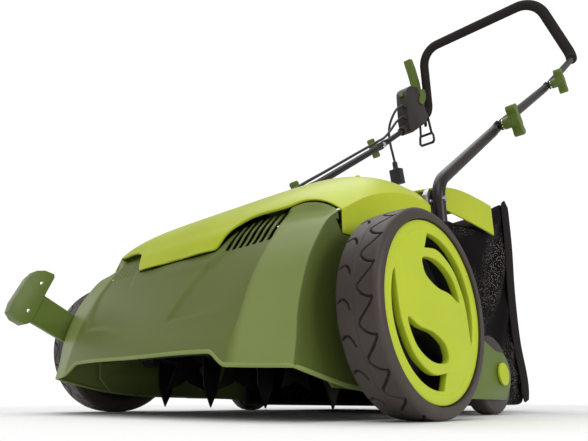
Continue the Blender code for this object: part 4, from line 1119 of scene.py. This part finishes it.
# ---- fittings that keep their CAD shape ----
# With rounded edges: node, material, slot, width of the rounding and its segments.
FITTINGS = [
    ("depth_lever", LEAF, "leaf_plastic", 0.0022, 3), ("cord_hook", BLACK, "black_plastic", 0.0008, 2),
    ("switch_box", DARK, "dark_plastic", 0.0030, 3), ("bail_lever", LEAF, "leaf_plastic", 0.0016, 3),
    ("safety_button", LEAF, "leaf_plastic", 0.0010, 2), ("motor_housing", BLACK, "black_plastic", 0.0012, 2),
    ("motor_cradle", STEEL, "steel", 0.0004, 1), ("reel_baffle", BLACK, "black_plastic", 0.0004, 1),
]
PAIRED_FITTINGS = [
    ("knob_lower", LEAF, "leaf_plastic", 0.0014, 3), ("knob_upper", LEAF, "leaf_plastic", 0.0014, 3),
    ("rear_bracket", LEAF, "leaf_plastic", 0.0012, 2), ("axle_pin", LIME, "lime_plastic", 0.0012, 3),
    ("handle_bracket", STEEL, "steel", 0.0008, 2), ("crank_arm", STEEL, "steel", 0.0006, 2),
    ("side_plate", OLIVE, "olive_plastic", 0.0006, 2), ("rear_wheel", TYRE, "tyre", 0.0006, 2),
]
# As they are in the CAD.
PLAIN = [("crank_shaft", STEEL), ("reel_shaft", STEEL), ("reel_pulley", STEEL),
         ("motor_pulley", STEEL), ("drive_belt", BELT), ("bag_frame", BLACK_STEEL),
         ("blade_reel_left", BLACK_STEEL), ("blade_reel_middle", BLACK_STEEL),
         ("blade_reel_right", BLACK_STEEL)]
PLAIN_PAIRS = [("bearing", STEEL), ("base_bolt", CHROME), ("bolt_lower", CHROME), ("bolt_upper", CHROME)]

for fitting in FITTINGS:
    refine(*fitting)
for stem, mat, slot, width, segments in PAIRED_FITTINGS:
    for _, label in SIDES:
        refine(stem + "_" + label, mat, slot, width, segments)
for node, mat in PLAIN:
    dress(node, mat)
for stem, mat in PLAIN_PAIRS:
    for _, label in SIDES:
        dress(stem + "_" + label, mat)


LEVER_SCREWS = ((-0.149, 0.166), (-0.161, 0.128))


def make_lever_screws():
    for i, (y, z) in enumerate(LEVER_SCREWS):
        screw = bar("lever_screw_%d" % i, (y, z), 0.0036, -0.2190, -0.2170, 0.0006)
        settle(screw, CHROME, "front_crank", "chrome")


make_lever_screws()


# ---- bag ----
BAG_TOP = [(0.1965, 0.257), (0.356, 0.290), (0.420, 0.330), (0.444, 0.339)]
BAG_FLOOR = [(0.1965, 0.013), (0.428, 0.011), (0.446, 0.014)]
BAG_BACK = [(0.009, 0.428), (0.036, 0.438), (0.100, 0.428), (0.180, 0.430), (0.263, 0.442), (0.342, 0.446)]
BAG_FRONT_Y = 0.1975
BAG_STEPS = 26
BAG_CAP = 0.009            # how far the cloth may move while it settles
BAG_LOWEST = 0.0095
BAG_FOOT_Z = 0.009
BAG_TALL = 0.333
BAG_DIP = 0.010             # how far the top sags at its rear edge
BAG_HELD_Y = 0.424         # behind this the bag's side edges are held
TAPE_HALF = 0.0145
TAPE_THICK = 0.0012
TAPE_ROUND = 0.012


def bag_point(a, b, c):
    """A point of the bag from shares across (a), back (b) and up (c)."""
    back = value_at(BAG_BACK, BAG_FOOT_Z + BAG_TALL * c, 0, 1)
    y = BAG_FRONT_Y + (back - BAG_FRONT_Y) * b
    low = value_at(BAG_FLOOR, y, 0, 1)
    high = value_at(BAG_TOP, y, 0, 1)
    dip = BAG_DIP * math.sin(math.pi * a) * b if c == 1.0 else 0.0
    return at(BAG_HALF * 0.985 * (2 * a - 1), y, low + (high - low) * c - dip)


def bag_cage():
    """An open-fronted box of cloth, as a bmesh with merged corners."""
    n = BAG_STEPS
    bm = bmesh.new()
    faces = ((lambda u, v: (0.0, u, v)), (lambda u, v: (1.0, u, v)), (lambda u, v: (u, v, 0.0)),
             (lambda u, v: (u, v, 1.0)), (lambda u, v: (u, 1.0, v)))
    for shares in faces:
        grid = [[bm.verts.new(bag_point(*shares(i / n, j / n))) for j in range(n + 1)] for i in range(n + 1)]
        for i in range(n):
            for j in range(n):
                bm.faces.new((grid[i][j], grid[i + 1][j], grid[i + 1][j + 1], grid[i][j + 1]))
    bmesh.ops.remove_doubles(bm, verts=bm.verts, dist=0.0012)
    return bm


def settle_cloth(obj, pinned):
    """Lets the cloth hang for a moment, with the pinned points held and every point's travel capped."""
    group = obj.vertex_groups.new(name="held")
    for index, weight in pinned.items():
        group.add([index], weight, "REPLACE")
    rest = [v.co.copy() for v in obj.data.vertices]
    cloth = obj.modifiers.new("cloth", "CLOTH")
    cloth.settings.quality = 6
    cloth.settings.mass = 0.15
    cloth.settings.tension_stiffness = 20
    cloth.settings.compression_stiffness = 6
    cloth.settings.bending_stiffness = 0.4
    cloth.settings.shrink_min = -0.03
    cloth.settings.vertex_group_mass = "held"
    cloth.point_cache.frame_end = 30
    scene = bpy.context.scene
    for step in range(1, 26):
        scene.frame_set(step)
    baked(obj)
    scene.frame_set(1)
    for vert, home in zip(obj.data.vertices, rest):
        travel = vert.co - home
        if travel.length > BAG_CAP:
            vert.co = home + travel.normalized() * BAG_CAP


def make_bag():
    obj = from_bmesh("bag_cloth", bag_cage())
    pinned = {}
    for v in obj.data.vertices:
        y = v.co.y - AXLE_Y
        if y < BAG_FRONT_Y + 0.002:
            pinned[v.index] = 1.0
        elif abs(v.co.x) > BAG_HALF * 0.96 and y > BAG_HELD_Y:
            pinned[v.index] = 0.85
    settle_cloth(obj, pinned)
    for v in obj.data.vertices:
        v.co.z = max(v.co.z, BAG_LOWEST)
    sub = obj.modifiers.new("fine", "SUBSURF")
    sub.levels = 2
    sub.render_levels = 2
    baked(obj)
    settle(smooth(obj, 60.0), MESH, "grass_bag", "bag_cloth", "bag")


def tape_half(s, total):
    """Half width of a hem tape, rounded off at its ends."""
    end = min(s, total - s, TAPE_ROUND) / TAPE_ROUND
    return TAPE_HALF * math.sqrt(max(1 - (1 - end) ** 2, 0.02))


def make_bag_trim():
    """Hem tapes down the two rear edges."""
    for side, label in SIDES:
        x = side * BAG_HALF
        down = [at(x, value_at(BAG_BACK, z, 0, 1) - 0.009, z) for z in between(0.338, 0.014, 40)]
        tape = sweep("bag_tape_" + label, down, lambda s, total: (TAPE_THICK, tape_half(s, total), 0.0), 20)
        settle(tape, HEM, "grass_bag", "bag_cloth")


make_bag()
make_bag_trim()
